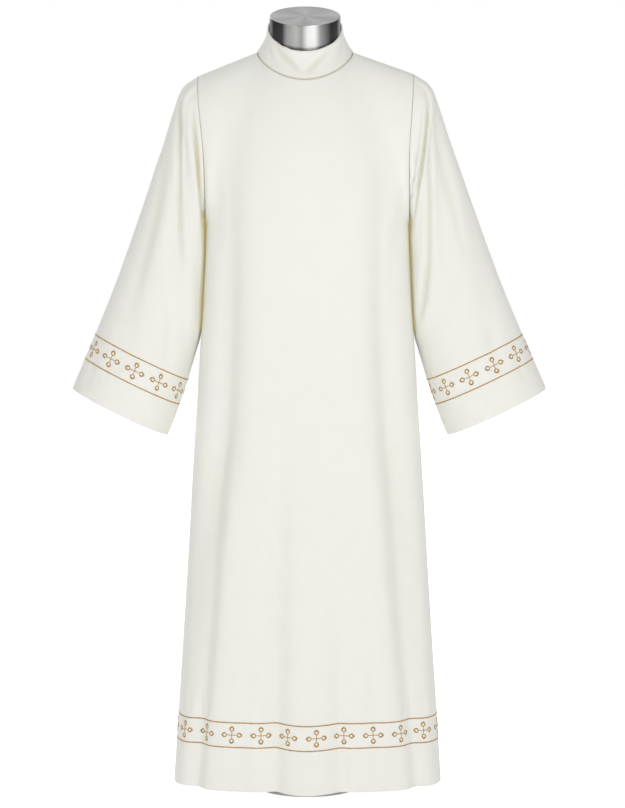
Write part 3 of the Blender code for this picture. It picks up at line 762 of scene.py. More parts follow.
        weight = np.sqrt(np.abs(np.sin(angle))) * smooth_step(share / self.push_from)[:, None]
        push = []
        for table in (SLEEVE_FOLDS, SLEEVE_CREASES):
            fore, aft = (total_push(table[side, face], x, z) for face in Face)
            push.append(np.where(front[None, :], fore, aft) * weight)
        # Painted shade: the creases, and the strip that lies close to the body
        off_body = np.abs(x) - np.interp(z, levels[:, 0], levels[:, 1])
        contact = smooth_step(1 - off_body / self.contact_reach) * self.shaded(z)
        shade_amount = push[1] - self.contact_shade_push * contact
        return self.settle(grid + normals * (push[0] + push[1])[:, :, None]), shade_amount, middle

    def collar(self) -> tuple[Array, Array]:
        """Outer points of the stand collar, from centre back round the front, and their push.

        Returns:
            The grid of outer points and how far creases pushed each.
        """
        angle = np.linspace(-math.pi, math.pi, self.collar_columns + 1)
        base, top = self.loop(COLLAR_BASE, angle), self.loop(COLLAR_TOP, angle)
        rise = np.linspace(0.0, 1.0, self.collar_rows + 1)
        blend = read_rows([[0.0], [0.54], [0.87], [1.0]], 3 * rise)[:, :, None]
        grid = base[None] + (top - base)[None] * blend
        grid[:, :, 2] = base[None, :, 2] + (top - base)[None, :, 2] * rise[:, None]
        normals = grid_normals(grid, row_hearts(grid))
        run = arc_lengths(grid, 1)
        run -= run[:, [self.collar_columns // 2]]
        push = total_push(COLLAR_CREASES, run, arc_lengths(grid, 0))
        return grid + normals * push[:, :, None], push


def linear(hex_colour: str) -> tuple[float, float, float, float]:
    """Linear colour of an sRGB hex colour.

    Args:
        hex_colour: Such as "#F0EEE4".

    Returns:
        Red, green, blue and 1.
    """
    values = [int(hex_colour[k : k + 2], 16) / 255 for k in (1, 3, 5)]
    red, green, blue = (v / 12.92 if v <= 0.04045 else ((v + 0.055) / 1.055) ** 2.4 for v in values)
    return red, green, blue, 1.0


def add_node(
    tree: Tree,
    kind: str,
    settings: dict[str, Any] | None = None,
    inputs: dict[Any, Any] | None = None,
) -> bpy.types.Node:
    """Add a node.

    Args:
        tree: The tree to add it to.
        kind: The node's type name.
        settings: Values of its own properties.
        inputs: Its inputs by name or number, each a value or another node's output.

    Returns:
        The node.
    """
    node = tree.nodes.new(kind)
    for name, value in (settings or {}).items():
        setattr(node, name, value)
    for name, value in (inputs or {}).items():
        if isinstance(value, Socket):
            tree.links.new(value, node.inputs[name])
        else:
            node.inputs[name].default_value = value
    return node


def mixed(tree: Tree, share: Socket | float, low: Any, high: Any, way: str = "MIX") -> Socket:
    """Colour between two colours or sockets, by a share."""
    kind = {"data_type": "RGBA", "blend_type": way}
    return add_node(tree, "ShaderNodeMix", kind, {0: share, 6: low, 7: high}).outputs[2]


def maths(tree: Tree, way: str, first: Socket | float, second: Socket | float) -> Socket:
    """Result of one arithmetic step."""
    return add_node(tree, "ShaderNodeMath", {"operation": way}, {0: first, 1: second}).outputs[0]


def texture(tree: Tree, kind: str, place: Socket, **values: float) -> bpy.types.Node:
    """A noise, wave or cell texture at a place."""
    return add_node(tree, f"ShaderNodeTex{kind}", inputs={"Vector": place, **values})


def raised(tree: Tree, strength: float, distance: float, height: Socket, **below: Socket) -> Socket:
    """Normals raised by a height, over the Normal below where one is given."""
    values = {"Strength": strength, "Distance": distance, "Height": height, **below}
    return add_node(tree, "ShaderNodeBump", inputs=values).outputs[0]


def named_factor(tree: Tree, label: str) -> Socket:
    """An attribute of the mesh as a factor."""
    return add_node(tree, "ShaderNodeAttribute", {"attribute_name": label}).outputs["Fac"]


def object_place(tree: Tree) -> Socket:
    """Places in object space."""
    return add_node(tree, "ShaderNodeTexCoord").outputs["Object"]


def finish(tree: Tree, shader: bpy.types.Node, **sockets: Socket) -> None:
    """Link sockets to the shader's inputs, with _ for each space of a name."""
    for name, socket in sockets.items():
        tree.links.new(socket, shader.inputs[name.replace("_", " ")])


def shader_material(name: str, **values: Any) -> tuple[Material, bpy.types.Node]:
    """A new material and its Principled shader, with values set on its sockets.

    Args:
        name: The material's name.
        **values: Socket values, with _ for each space of a socket's name.

    Returns:
        The material and the shader.
    """
    material = bpy.data.materials.new(name)
    material.use_nodes = True
    shader = material.node_tree.nodes["Principled BSDF"]
    for key, value in values.items():
        shader.inputs[key.replace("_", " ")].default_value = value
    return material, shader


def ramp_stops(node: bpy.types.Node, stops: Sequence[tuple[float, str]]) -> None:
    """Set a colour ramp's stops, as places and sRGB hex colours.

    Args:
        node: The ramp's node.
        stops: Places and sRGB hex colours.
    """
    ramp = node.color_ramp
    while len(ramp.elements) > len(stops):
        ramp.elements.remove(ramp.elements[-1])
    while len(ramp.elements) < len(stops):
        ramp.elements.new(1.0)
    for element, (place, colour) in zip(ramp.elements, stops):
        element.position = place
        element.color = linear(colour)


@dataclass(frozen=True)
class IvoryTwill:
    """Wool and polyester twill: a dry, even ivory face with a fine diagonal rib and almost no gloss.

    Seams carry a thin tan line, part thread and part painted shade. Creases carry painted warm olive shade,
    with a faint painted glow in the deepest, so they never go quite dark.
    """

    name: str = "ivory_twill"
    face: str = "#F1F1EB"
    shade: str = "#EEEDE6"
    # Tan of the seam lines: part thread, part painted shade of the seam's groove
    seam: str = "#B5914C"
    # Painted shade colour for creases and for the gap beside each sleeve
    painted_shade: str = "#AD9F5A"
    # Colour of the painted glow in the deepest creases
    painted_glow_colour: str = "#CDC188"
    rib_mm: float = 1.1
    rib_degrees: float = 58.0
    seam_shade_strength: float = 0.45
    painted_shade_strength: float = 0.60
    painted_glow_strength: float = 0.32

    def material(self) -> Material:
        """Make the material. The rib is drawn about twice as coarse as the real one, so that it shows.

        Returns:
            The material.
        """
        material, shader = shader_material(
            self.name, Roughness=0.82, Specular_IOR_Level=0.28, Sheen_Weight=0.12, Sheen_Roughness=0.45
        )
        tree = material.node_tree
        metres = add_node(tree, "ShaderNodeUVMap", {"uv_map": "cut"}).outputs[0]
        turn = {"Vector": metres, "Rotation": (0.0, 0.0, math.radians(self.rib_degrees))}
        turned = add_node(tree, "ShaderNodeMapping", inputs=turn).outputs[0]
        wave_period = math.pi / 10
        rib = texture(tree, "Wave", turned, Scale=wave_period / (self.rib_mm * MM), Distortion=0.6)
        slub = texture(tree, "Noise", metres, Scale=420.0, Detail=2.0, Roughness=0.6)
        drape = texture(tree, "Noise", metres, Scale=26.0, Detail=3.0, Roughness=0.5).outputs["Fac"]
        tone = mixed(tree, drape, linear(self.face), linear(self.shade))
        # Painted shade: a thin tan line along each seam, part thread and part the groove's shade
        line = maths(tree, "MULTIPLY", named_factor(tree, "seam"), self.seam_shade_strength)
        seam_shaded = mixed(tree, line, tone, linear(self.seam))
        # Painted shade: creases, and the gap beside each sleeve, are mixed towards warm olive
        painted_shade = named_factor(tree, "painted_shade")
        depth = maths(tree, "MULTIPLY", painted_shade, self.painted_shade_strength)
        crease_shaded = mixed(tree, depth, seam_shaded, linear(self.painted_shade))
        # Painted light: the deepest creases glow faintly, so that their painted shade never goes quite dark
        glow = maths(tree, "MULTIPLY", maths(tree, "POWER", painted_shade, 3.0), self.painted_glow_strength)
        shader.inputs["Emission Color"].default_value = linear(self.painted_glow_colour)
        fine = raised(tree, 0.35, 0.00018, rib.outputs["Fac"])
        nap = raised(tree, 0.3, 0.0002, slub.outputs["Fac"], Normal=fine)
        soft = raised(tree, 0.35, 0.0016, drape, Normal=nap)
        finish(tree, shader, Base_Color=crease_shaded, Emission_Strength=glow, Normal=soft)
        return material


@dataclass(frozen=True)
class Thread:
    """Rayon embroidery thread: smooth, bright on each stitch's back and darker between the stitches."""

    name: str = "gold_thread"
    light: str = "#D3A11E"
    dark: str = "#8F650A"
    roughness: float = 0.42

    def material(self) -> Material:
        """Make the material.

        Returns:
            The material.
        """
        material, shader = shader_material(self.name, Roughness=self.roughness)
        tree = material.node_tree
        noise = texture(tree, "Noise", object_place(tree), Scale=260.0, Detail=1.0)
        colour = mixed(tree, noise.outputs["Fac"], linear(self.light), linear(self.dark))
        finish(tree, shader, Base_Color=colour)
        return material


@dataclass(frozen=True)
class WovenTape:
    """Polyester tape or jersey: matt, with a small even weave or knit."""

    name: str
    light: str
    dark: str
    weave_mm: float = 0.9

    def material(self) -> Material:
        """Make the material, with its weave as small cells of object space.

        Returns:
            The material.
        """
        material, shader = shader_material(self.name, Roughness=0.85, Specular_IOR_Level=0.25)
        tree = material.node_tree
        weave = texture(tree, "Voronoi", object_place(tree), Scale=1 / (self.weave_mm * MM))
        cells = weave.outputs["Distance"]
        colour = mixed(tree, cells, linear(self.light), linear(self.dark))
        finish(tree, shader, Base_Color=colour, Normal=raised(tree, 0.4, 0.0002, cells))
        return material


# Painted reflection bands of the cap's steel side round its axis, as shares of a turn
CAP_SIDE_PAINTED_REFLECTIONS = (
    (0.0, "#8A8A8A"), (0.04, "#B4B4B4"), (0.075, "#343434"), (0.14, "#484848"), (0.165, "#A8A8A8"),
    (0.21, "#BEBEBE"), (0.235, "#A2A2A2"), (0.262, "#F4F4F4"), (0.295, "#FFFFFF"), (0.32, "#A6A6A6"),
    (0.38, "#3E3E3E"), (0.43, "#4A4A4A"), (0.46, "#C8C8C8"), (0.5, "#8A8A8A"), (0.7, "#6E6E6E"),
    (0.8, "#C0C0C0"), (0.9, "#707070"), (1.0, "#8A8A8A"),
)
# Painted sheen of the cap's top, lighter than its side, round its axis as shares of a turn
CAP_TOP_PAINTED_SHEEN = (
    (0.0, "#FFFFFF"), (0.08, "#EDEDED"), (0.17, "#FFFFFF"), (0.25, "#E8E8E8"), (0.33, "#FFFFFF"),
    (0.44, "#E6E6E6"), (0.52, "#FFFFFF"), (0.63, "#EFEFEF"), (0.75, "#FFFFFF"), (0.87, "#E9E9E9"),
    (1.0, "#FFFFFF"),
)


@dataclass(frozen=True)
class TurnedSteel:
    """Stainless steel brushed on a lathe, with painted reflection bands round the turned side."""

    name: str
    stops: tuple[tuple[float, str], ...]
    centre: tuple[float, float, float] = (0.0, 0.0, 0.0)
    tilt: float = 0.0
    roughness: float = 0.33
    radial: bool = False

    def material(self) -> Material:
        """Make the material, with painted reflection tones by the turn about the piece's own axis.

        Returns:
            The material.
        """
        values = {"Metallic": 1.0, "Roughness": self.roughness, "Anisotropic": 0.5}
        material, shader = shader_material(self.name, **values)
        tree = material.node_tree
        frame_of_piece = {
            "Vector": object_place(tree), "Location": self.centre, "Rotation": (self.tilt, 0.0, 0.0)
        }
        own = add_node(tree, "ShaderNodeMapping", {"vector_type": "TEXTURE"}, frame_of_piece).outputs[0]
        turn = add_node(tree, "ShaderNodeTexGradient", {"gradient_type": "RADIAL"}, {"Vector": own})
        ramp = add_node(tree, "ShaderNodeValToRGB", inputs={"Fac": turn.outputs["Fac"]})
        ramp_stops(ramp, self.stops)
        stretch = (700.0, 700.0, 3.0) if self.radial else (3.0, 3.0, 900.0)
        brushed = add_node(tree, "ShaderNodeMapping", inputs={"Vector": own, "Scale": stretch})
        grain = texture(tree, "Noise", brushed.outputs[0], Scale=1.0, Detail=3.0)
        tone = mixed(tree, 0.18, ramp.outputs["Color"], grain.outputs["Color"], "MULTIPLY")
        finish(tree, shader, Base_Color=tone, Normal=raised(tree, 0.08, 0.0001, grain.outputs["Fac"]))
        return material


@dataclass(frozen=True)
class PlainCoat:
    """Powder coat or studio paint: matt, with a fine orange-peel surface."""

    name: str
    colour: str
    roughness: float = 0.5
    grain_mm: float = 1.5
    depth_mm: float = 0.05

    def material(self) -> Material:
        """Make the material.

        Returns:
            The material.
        """
        values = {"Roughness": self.roughness, "Base_Color": linear(self.colour)}
        material, shader = shader_material(self.name, **values)
        tree = material.node_tree
        noise = texture(tree, "Noise", object_place(tree), Scale=1 / (self.grain_mm * MM), Detail=2.0)
        finish(tree, shader, Normal=raised(tree, 0.3, self.depth_mm * MM, noise.outputs["Fac"]))
        return material


def mesh_object(name: str, mesh: bpy.types.Mesh, materials: Sequence[Material]) -> Piece:
    """Link a mesh as an object at the origin.

    Args:
        name: The piece's name.
        mesh: Its mesh, in place.
        materials: Its materials in slot order.

    Returns:
        The object.
    """
    for material in materials:
        mesh.materials.append(material)
    item = bpy.data.objects.new(name, mesh)
    bpy.context.scene.collection.objects.link(item)
    return item


def closed_mesh(
    name: str,
    points: Array,
    faces: Sequence[Sequence[int]],
    materials: Sequence[Material],
    sharp_degrees: float | None = None,
) -> Piece:
    """Make a closed piece from points and faces, with its faces turned outwards.

    Args:
        name: The piece's name.
        points: Its vertices.
        faces: Its faces as vertex numbers.
        materials: Its materials in slot order.
        sharp_degrees: Edges that turn more than this stay sharp, or None for all smooth.

    Returns:
        The object.
    """
    mesh = bpy.data.meshes.new(name)
    mesh.from_pydata(np.asarray(points, dtype=float).tolist(), [], [tuple(face) for face in faces])
    work = bmesh.new()
    work.from_mesh(mesh)
    bmesh.ops.recalc_face_normals(work, faces=work.faces)
    work.to_mesh(mesh)
    work.free()
    mesh.shade_smooth()
    if sharp_degrees is not None:
        mesh.set_sharp_from_angle(angle=math.radians(sharp_degrees))
    return mesh_object(name, mesh, materials)


def ring_faces(rows: int, size: int) -> Faces:
    """Faces of closed rows of points, with a flat face at each end.

    Args:
        rows: Number of rows.
        size: Points in each row.

    Returns:
        The faces as vertex numbers.
    """
    faces: Faces = []
    for row in range(rows - 1):
        for index in range(size):
            a, b = row * size + index, row * size + (index + 1) % size
            faces.append((a, b, b + size, a + size))
    return [*faces, tuple(range(size)), tuple(range((rows - 1) * size, rows * size))]


def dress(piece: Piece, slot: str, *nodes: str) -> Piece:
    """Ride a piece on the part's one body and hide the CAD nodes that it stands for.

    Args:
        piece: The finished piece.
        slot: Not used.
        *nodes: CAD nodes that it replaces.

    Returns:
        The piece.
    """
    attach(piece, "root")
    if nodes:
        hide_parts(*nodes)
    LOG.info("%s: %d faces", piece.name, len(piece.data.polygons))
    return piece


@dataclass
class ClothWall:
    """One cut piece of cloth as a thin closed wall behind a grid of outer points."""

    name: str
    grid: Array
    hearts: Array
    # Pushes that set the painted shade: the further below zero, the darker
    push: Array
    wrap: bool = False
    seams: tuple[Edge, ...] = ()
    rolled: tuple[Edge, ...] = ()
    thickness: float = 0.0012
    seam_depth: float = 0.0002
    seam_width: float = 0.0007
    hem_depth: float = 0.020
    hem_extra: float = 0.0009
    turning_fade: float = 0.003
    rim_steps: int = 4
    rim_bulge: float = 0.5
    roll_extra: Array | None = None
    full_shade_push: float = 0.011

    def edge_distances(self) -> dict[Edge, Array]:
        """Distance of every point from each edge, along the cloth.

        Returns:
            A distance for every point, by edge.
        """
        across, along = arc_lengths(self.grid, 1), arc_lengths(self.grid, 0)
        return {
            Edge.LOW: along,
            Edge.HIGH: along[-1:] - along,
            Edge.FIRST: across,
            Edge.LAST: across[:, -1:] - across,
        }

    def sink_seams(self, normals: Array) -> Array:
        """Sink the seam edges.

        Args:
            normals: The grid's unit normals.

        Returns:
            How near each point is to a seam, from 0 to 1.
        """
        distances = self.edge_distances()
        near = np.zeros(self.grid.shape[:2])
        for edge in self.seams:
            near = np.maximum(near, np.exp(-((distances[edge] / self.seam_width) ** 2)))
        self.grid = self.grid - normals * (self.seam_depth * near)[:, :, None]
        return near

    def ring_rows(self, normals: Array) -> tuple[Array, Array]:
        """Rows of points right round the wall: outside, top rim, inside, low rim.

        Args:
            normals: The grid's unit normals.

        Returns:
            The rows of points, and for each of them the number of its outer row.
        """
        distances = self.edge_distances()
        depth = np.full(self.grid.shape[:2], self.thickness)
        for edge in self.rolled:
            turned = 1 - smooth_step((distances[edge] - self.hem_depth) / self.turning_fade)
            depth += turned * (self.hem_extra if self.roll_extra is None else self.roll_extra)
        inner = self.grid - normals * depth[:, :, None]
        count = len(self.grid)
        rims = {}
        for edge, row, step in ((Edge.HIGH, count - 1, 1), (Edge.LOW, 0, -1)):
            out = unit(self.grid[row] - self.grid[row - step])
            bulge = self.rim_bulge if edge in self.rolled else 0.0
            rim = []
            for t in np.linspace(0, 1, self.rim_steps + 2)[1:-1]:
                swell = bulge * depth[row] * math.sin(math.pi * t)
                rim.append(self.grid[row] * (1 - t) + inner[row] * t + out * swell[:, None])
            rims[edge] = np.array(rim) if edge is Edge.HIGH else np.array(rim)[::-1]
        rows = np.concatenate([self.grid, rims[Edge.HIGH], inner[::-1], rims[Edge.LOW]])
        up, rim = np.arange(count), np.ones(self.rim_steps, dtype=int)
        return rows, np.concatenate([up, rim * (count - 1), up[::-1], rim * 0])

    def build(self, material: Material) -> Piece:
        """Make the wall with its flat-cut UV map in metres, its seam attribute and its painted shade
        attribute.

        Args:
            material: The cloth.

        Returns:
            The piece.
        """
        near = self.sink_seams(grid_normals(self.grid, self.hearts, self.wrap))
        rows, numbers = self.ring_rows(grid_normals(self.grid, self.hearts, self.wrap))
        ring, columns = rows.shape[:2]
        spans = columns if self.wrap else columns - 1
        k, c = np.meshgrid(np.arange(ring), np.arange(spans), indexing="ij")
        after = (k + 1) % ring
        corners = [(k, c), (k, c + 1), (after, c + 1), (after, c)]
        quads = np.stack([a * columns + b % columns for a, b in corners], axis=-1).reshape(-1, 4)
        faces = quads.tolist()
        if not self.wrap:
            faces += self.side_caps(ring, columns)
        piece = closed_mesh(self.name, rows.reshape(-1, 3), faces, [material])
        mesh = piece.data
        # Painted shade of creases and of the gap beside each sleeve, from the pushes
        painted_shade = smooth_step(-self.push / self.full_shade_push)
        for label, values in (("seam", near), ("painted_shade", painted_shade)):
            layer = mesh.attributes.new(label, "FLOAT", "POINT")
            layer.data.foreach_set("value", values[numbers].reshape(-1).astype(np.float32))
        self.write_cut_map(mesh, numbers, columns)
        return piece

    def side_caps(self, ring: int, columns: int) -> Faces:
        """Faces that close the wall along its first and last columns.

        Args:
            ring: Number of rows right round the wall.
            columns: Number of columns.

        Returns:
            The faces.
        """
        count = len(self.grid)
        faces: Faces = []
        inner_top = count + self.rim_steps
        for column in (0, columns - 1):
            for row in range(count - 1):
                inside = inner_top + (count - 1 - row)
                loop = (row, row + 1, inside - 1, inside)
                faces.append(tuple(k * columns + column for k in loop))
            faces.append(tuple(k * columns + column for k in range(count - 1, inner_top + 1)))
            faces.append(tuple(k % ring * columns + column for k in range(inner_top + count - 1, ring + 1)))
        return faces

    def sew(self, cloth: Material, node: str) -> None:
        """Build the wall and dress it.

        Args:
            cloth: The cloth.
            node: The CAD node that it replaces.
        """
        piece = dress(self.build(cloth), "robe_cloth", node)

    def write_cut_map(self, mesh: bpy.types.Mesh, numbers: Array, columns: int) -> None:
        """Write the UV map of the flat cut, in metres.

        Args:
            mesh: The wall's mesh.
            numbers: Outer row number of each row right round the wall.
            columns: Number of columns.
        """
        across, along = arc_lengths(self.grid, 1), arc_lengths(self.grid, 0)
        flat = np.stack([across, along], axis=-1)[numbers].reshape(-1, 2)
        index = np.zeros(len(mesh.loops), dtype=np.int32)
        mesh.loops.foreach_get("vertex_index", index)
        uv = flat[index]
        if self.wrap:
            starts = np.zeros(len(mesh.polygons), dtype=np.int32)
            mesh.polygons.foreach_get("loop_start", starts)
            face_columns = (index % columns).reshape(-1, 4)
            joins = face_columns.max(axis=1) - face_columns.min(axis=1) > 1
            lift = (face_columns == 0) & joins[:, None]
            closing = np.linalg.norm(self.grid[:, 0] - self.grid[:, -1], axis=-1)
            total = (across[:, -1] + closing)[numbers][index // columns]
            uv[:, 0] += np.where(lift.reshape(-1), total, 0.0)
        layer = mesh.uv_layers.new(name="cut")
        layer.data.foreach_set("uv", uv.astype(np.float32).reshape(-1))


class Stitch(NamedTuple):
    """A stitch on the flat band: run and rise of its ends, and its width, all in millimetres."""

    start: tuple[float, float]
    end: tuple[float, float]
    width: float


@dataclass(frozen=True)
class CrossMotif:
    """The embroidered cross: thin arms that end in open drops, thick outside and pointed."""

    side_reach: float = 13.4
    tall_reach: float = 10.7
    side_arm: float = 10.4
    tall_arm: float = 7.7
    drop_radius: float = 3.1
    side_point: float = 1.3
    tall_point: float = 0.4
    thin: float = 1.6
    thick: float = 3.4
    satin: float = 1.7
    spacing: float = 0.85
    stem_stitch: float = 2.4
    stem_step: float = 0.72
    stem_slant: float = 0.12

    def arm(self, length: float) -> list[Stitch]:
        """Stem stitches from the middle along +run.

        Args:
            length: The arm's length in millimetres.

        Returns:
            The stitches.
        """
        count = max(2, round(length / (self.stem_stitch * self.stem_step)))
        step = length / count
        slant, back, ahead = self.stem_slant, 0.3, self.stem_stitch * 0.85
        starts = (k * step for k in range(count))
        return [Stitch((at - back, -slant), (at + ahead, slant), self.thin) for at in starts]

    def drop(self, reach: float, point: float) -> list[Stitch]:
        """Satin stitches round an open drop that lies along +run.

        Args:
            reach: Run of its middle.
            point: How far its outer end is drawn out.

        Returns:
            The stitches.
        """
        count = round(2 * math.pi * self.drop_radius / self.spacing)
        angle = 2 * math.pi * (np.arange(count) + 0.5) / count - math.pi
        pulled = np.exp(-((angle / 0.5) ** 2))
        run = reach + self.drop_radius * np.cos(angle) + point * pulled
        rise = self.drop_radius * np.sin(angle)
        away = np.stack([run - reach + 0.6 * point * pulled, rise], axis=1)
        away /= np.linalg.norm(away, axis=1, keepdims=True)
        width = self.thin + (self.thick - self.thin) * ((1 + np.cos(angle)) / 2) ** 0.8
        stitches = []
        for x, y, (u, v), w in zip(run, rise, away, width):
            inner, outer = -self.thin / 2, w - self.thin / 2
            start, end = (x + u * inner, y + v * inner), (x + u * outer, y + v * outer)
            stitches.append(Stitch(start, end, self.satin))
        return stitches

    def stitches(self) -> list[Stitch]:
        """Every stitch of one cross, about its middle.

        Returns:
            The stitches.
        """
        quarter_turns = ((1, 0), (0, 1), (-1, 0), (0, -1))
        found = []
        for index, (cos, sin) in enumerate(quarter_turns):
            if index % 2 == 0:
                marks = self.arm(self.side_arm) + self.drop(self.side_reach, self.side_point)
            else:
                marks = self.arm(self.tall_arm) + self.drop(self.tall_reach, self.tall_point)
            for stitch in marks:
                ends = [(x * cos - y * sin, x * sin + y * cos) for x, y in (stitch.start, stitch.end)]
                found.append(Stitch(ends[0], ends[1], stitch.width))
        return found


class RingSurface:
    """A closed ring of cloth read by its run round the ring and its rise from the free edge."""

    def __init__(self, grid: Array, normals: Array, reference: float) -> None:
        """Keep the ring.

        Args:
            grid: Rows from the free edge, by columns round the ring.
            normals: Unit normals of the grid.
            reference: Rise at which the run is measured.
        """
        self.grid = np.concatenate([grid, grid[:, :1]], axis=1)
        self.normals = np.concatenate([normals, normals[:, :1]], axis=1)
        self.rise = arc_lengths(self.grid, 0)
        columns = np.arange(self.grid.shape[1])
        line = self.read(self.grid, columns.astype(float), np.full(len(columns), reference))
        self.run = arc_lengths(line, 0)

    @property
    def length(self) -> float:
        """Length right round the ring."""
        return float(self.run[-1])

    def read(self, values: Array, column: Array, rise: Array) -> Array:
        """Values between the grid's points.

        Args:
            values: A grid of vectors.
            column: Places between columns.
            rise: Rise from the free edge.

        Returns:
            One vector for each place.
        """
        low = np.clip(np.floor(column).astype(int), 0, values.shape[1] - 2)
        parts = []
        for at in (low, low + 1):
            rises = self.rise[:, at]
            row = np.clip((rises < rise[None, :]).sum(axis=0) - 1, 0, len(rises) - 2)
            pick = np.arange(len(rise))
            below, above = rises[row, pick], rises[row + 1, pick]
            t = ((rise - below) / (above - below))[:, None]
            parts.append(values[row, at] * (1 - t) + values[row + 1, at] * t)
        share = (column - low)[:, None]
        return parts[0] * (1 - share) + parts[1] * share

    def place(self, run: Array, rise: Array) -> tuple[Array, Array]:
        """Points and unit normals at places of the band.

        Args:
            run: Distance round the ring.
            rise: Distance from the free edge.

        Returns:
            The points and the normals.
        """
        column = np.interp(np.mod(run, self.length), self.run, np.arange(len(self.run)))
        return self.read(self.grid, column, rise), unit(self.read(self.normals, column, rise))


@dataclass
class BeadTree:
    """Geometry Nodes tree that lays a small rounded bead of thread or metal on every point."""

    name: str
    material: Material
    segments: int = 6
    rings: int = 3
    unevenness: float = 0.08
    seed: int = 7
    identifiers: dict[str, str] = field(default_factory=dict)

    def build(self) -> Tree:
        """Build the tree and note its inputs' identifiers.

        Returns:
            The tree.
        """
        tree = bpy.data.node_groups.new(self.name, "GeometryNodeTree")
        kinds = {
            "Points": "NodeSocketGeometry",
            "Segments": "NodeSocketInt",
            "Rings": "NodeSocketInt",
            "Unevenness": "NodeSocketFloat",
            "Seed": "NodeSocketInt",
            "Finish": "NodeSocketMaterial",
        }
        for label, kind in kinds.items():
            made = tree.interface.new_socket(name=label, in_out="INPUT", socket_type=kind)
            self.identifiers[label] = made.identifier
        tree.interface.new_socket(name="Beads", in_out="OUTPUT", socket_type="NodeSocketGeometry")
        given = add_node(tree, "NodeGroupInput").outputs
        ball_values = {"Segments": given["Segments"], "Rings": given["Rings"], "Radius": 0.5}
        ball = add_node(tree, "GeometryNodeMeshUVSphere", inputs=ball_values).outputs["Mesh"]
        lying = {"Geometry": ball, "Rotation": (0.0, math.pi / 2, 0.0)}
        laid = add_node(tree, "GeometryNodeTransform", inputs=lying).outputs[0]
        attribute, vector = "GeometryNodeInputNamedAttribute", {"data_type": "FLOAT_VECTOR"}
        along, out, size = (
            add_node(tree, attribute, vector, {"Name": label}).outputs["Attribute"]
            for label in ("along", "out", "size")
        )
        align = "FunctionNodeAlignRotationToVector"
        upright = add_node(tree, align, {"axis": "Z"}, {"Vector": out}).outputs[0]
        ways = {"axis": "X", "pivot_axis": "Z"}
        turned = add_node(tree, align, ways, {"Rotation": upright, "Vector": along}).outputs[0]
        least, most = (maths(tree, way, 1.0, given["Unevenness"]) for way in ("SUBTRACT", "ADD"))
        limits = {2: least, 3: most, "Seed": given["Seed"]}
        chance = add_node(tree, "FunctionNodeRandomValue", {"data_type": "FLOAT"}, limits).outputs[1]
        scaled = {0: size, "Scale": chance}
        scale = add_node(tree, "ShaderNodeVectorMath", {"operation": "SCALE"}, scaled).outputs[0]
        values = {"Points": given["Points"], "Instance": laid, "Rotation": turned, "Scale": scale}
        beads = add_node(tree, "GeometryNodeInstanceOnPoints", inputs=values).outputs[0]
        real = add_node(tree, "GeometryNodeRealizeInstances", inputs={0: beads}).outputs[0]
        smooth = add_node(tree, "GeometryNodeSetShadeSmooth", inputs={"Geometry": real}).outputs[0]
        paint = {"Geometry": smooth, "Material": given["Finish"]}
        painted = add_node(tree, "GeometryNodeSetMaterial", inputs=paint).outputs[0]
        add_node(tree, "NodeGroupOutput", inputs={"Beads": painted})
        return tree

    def lay(self, name: str, starts: Array, ends: Array, outs: Array, sizes: Array) -> Piece:
        """Lay a bead from each start to its end.

        Args:
            name: The piece's name.
            starts: First ends of the beads.
            ends: Second ends.
            outs: Directions away from the surface.
            sizes: Each bead's width and height.

        Returns:
            The beads as one plain mesh.
        """
        tree = self.build()
        mesh = bpy.data.meshes.new(name)
        mesh.from_pydata(((starts + ends) / 2).tolist(), [], [])
        length = np.linalg.norm(ends - starts, axis=1)
        values = {
            "along": unit(ends - starts),
            "out": outs,
            "size": np.stack([length, sizes[:, 0], sizes[:, 1]], axis=1),
        }
        for label, vectors in values.items():
            layer = mesh.attributes.new(label, "FLOAT_VECTOR", "POINT")
            layer.data.foreach_set("vector", vectors.astype(np.float32).reshape(-1))
        draft = bpy.data.objects.new(name + "_points", mesh)
        bpy.context.scene.collection.objects.link(draft)
        modifier = draft.modifiers.new("beads", "NODES")
        modifier.node_group = tree
        choices = {
            "Segments": self.segments,
            "Rings": self.rings,
            "Unevenness": self.unevenness,
            "Seed": self.seed,
            "Finish": self.material,
        }
        for label, value in choices.items():
            modifier[self.identifiers[label]] = value
        graph = bpy.context.evaluated_depsgraph_get()
        made = bpy.data.meshes.new_from_object(draft.evaluated_get(graph))
        made.name = name
        bpy.data.objects.remove(draft, do_unlink=True)
        made.materials.clear()
        return mesh_object(name, made, [self.material])


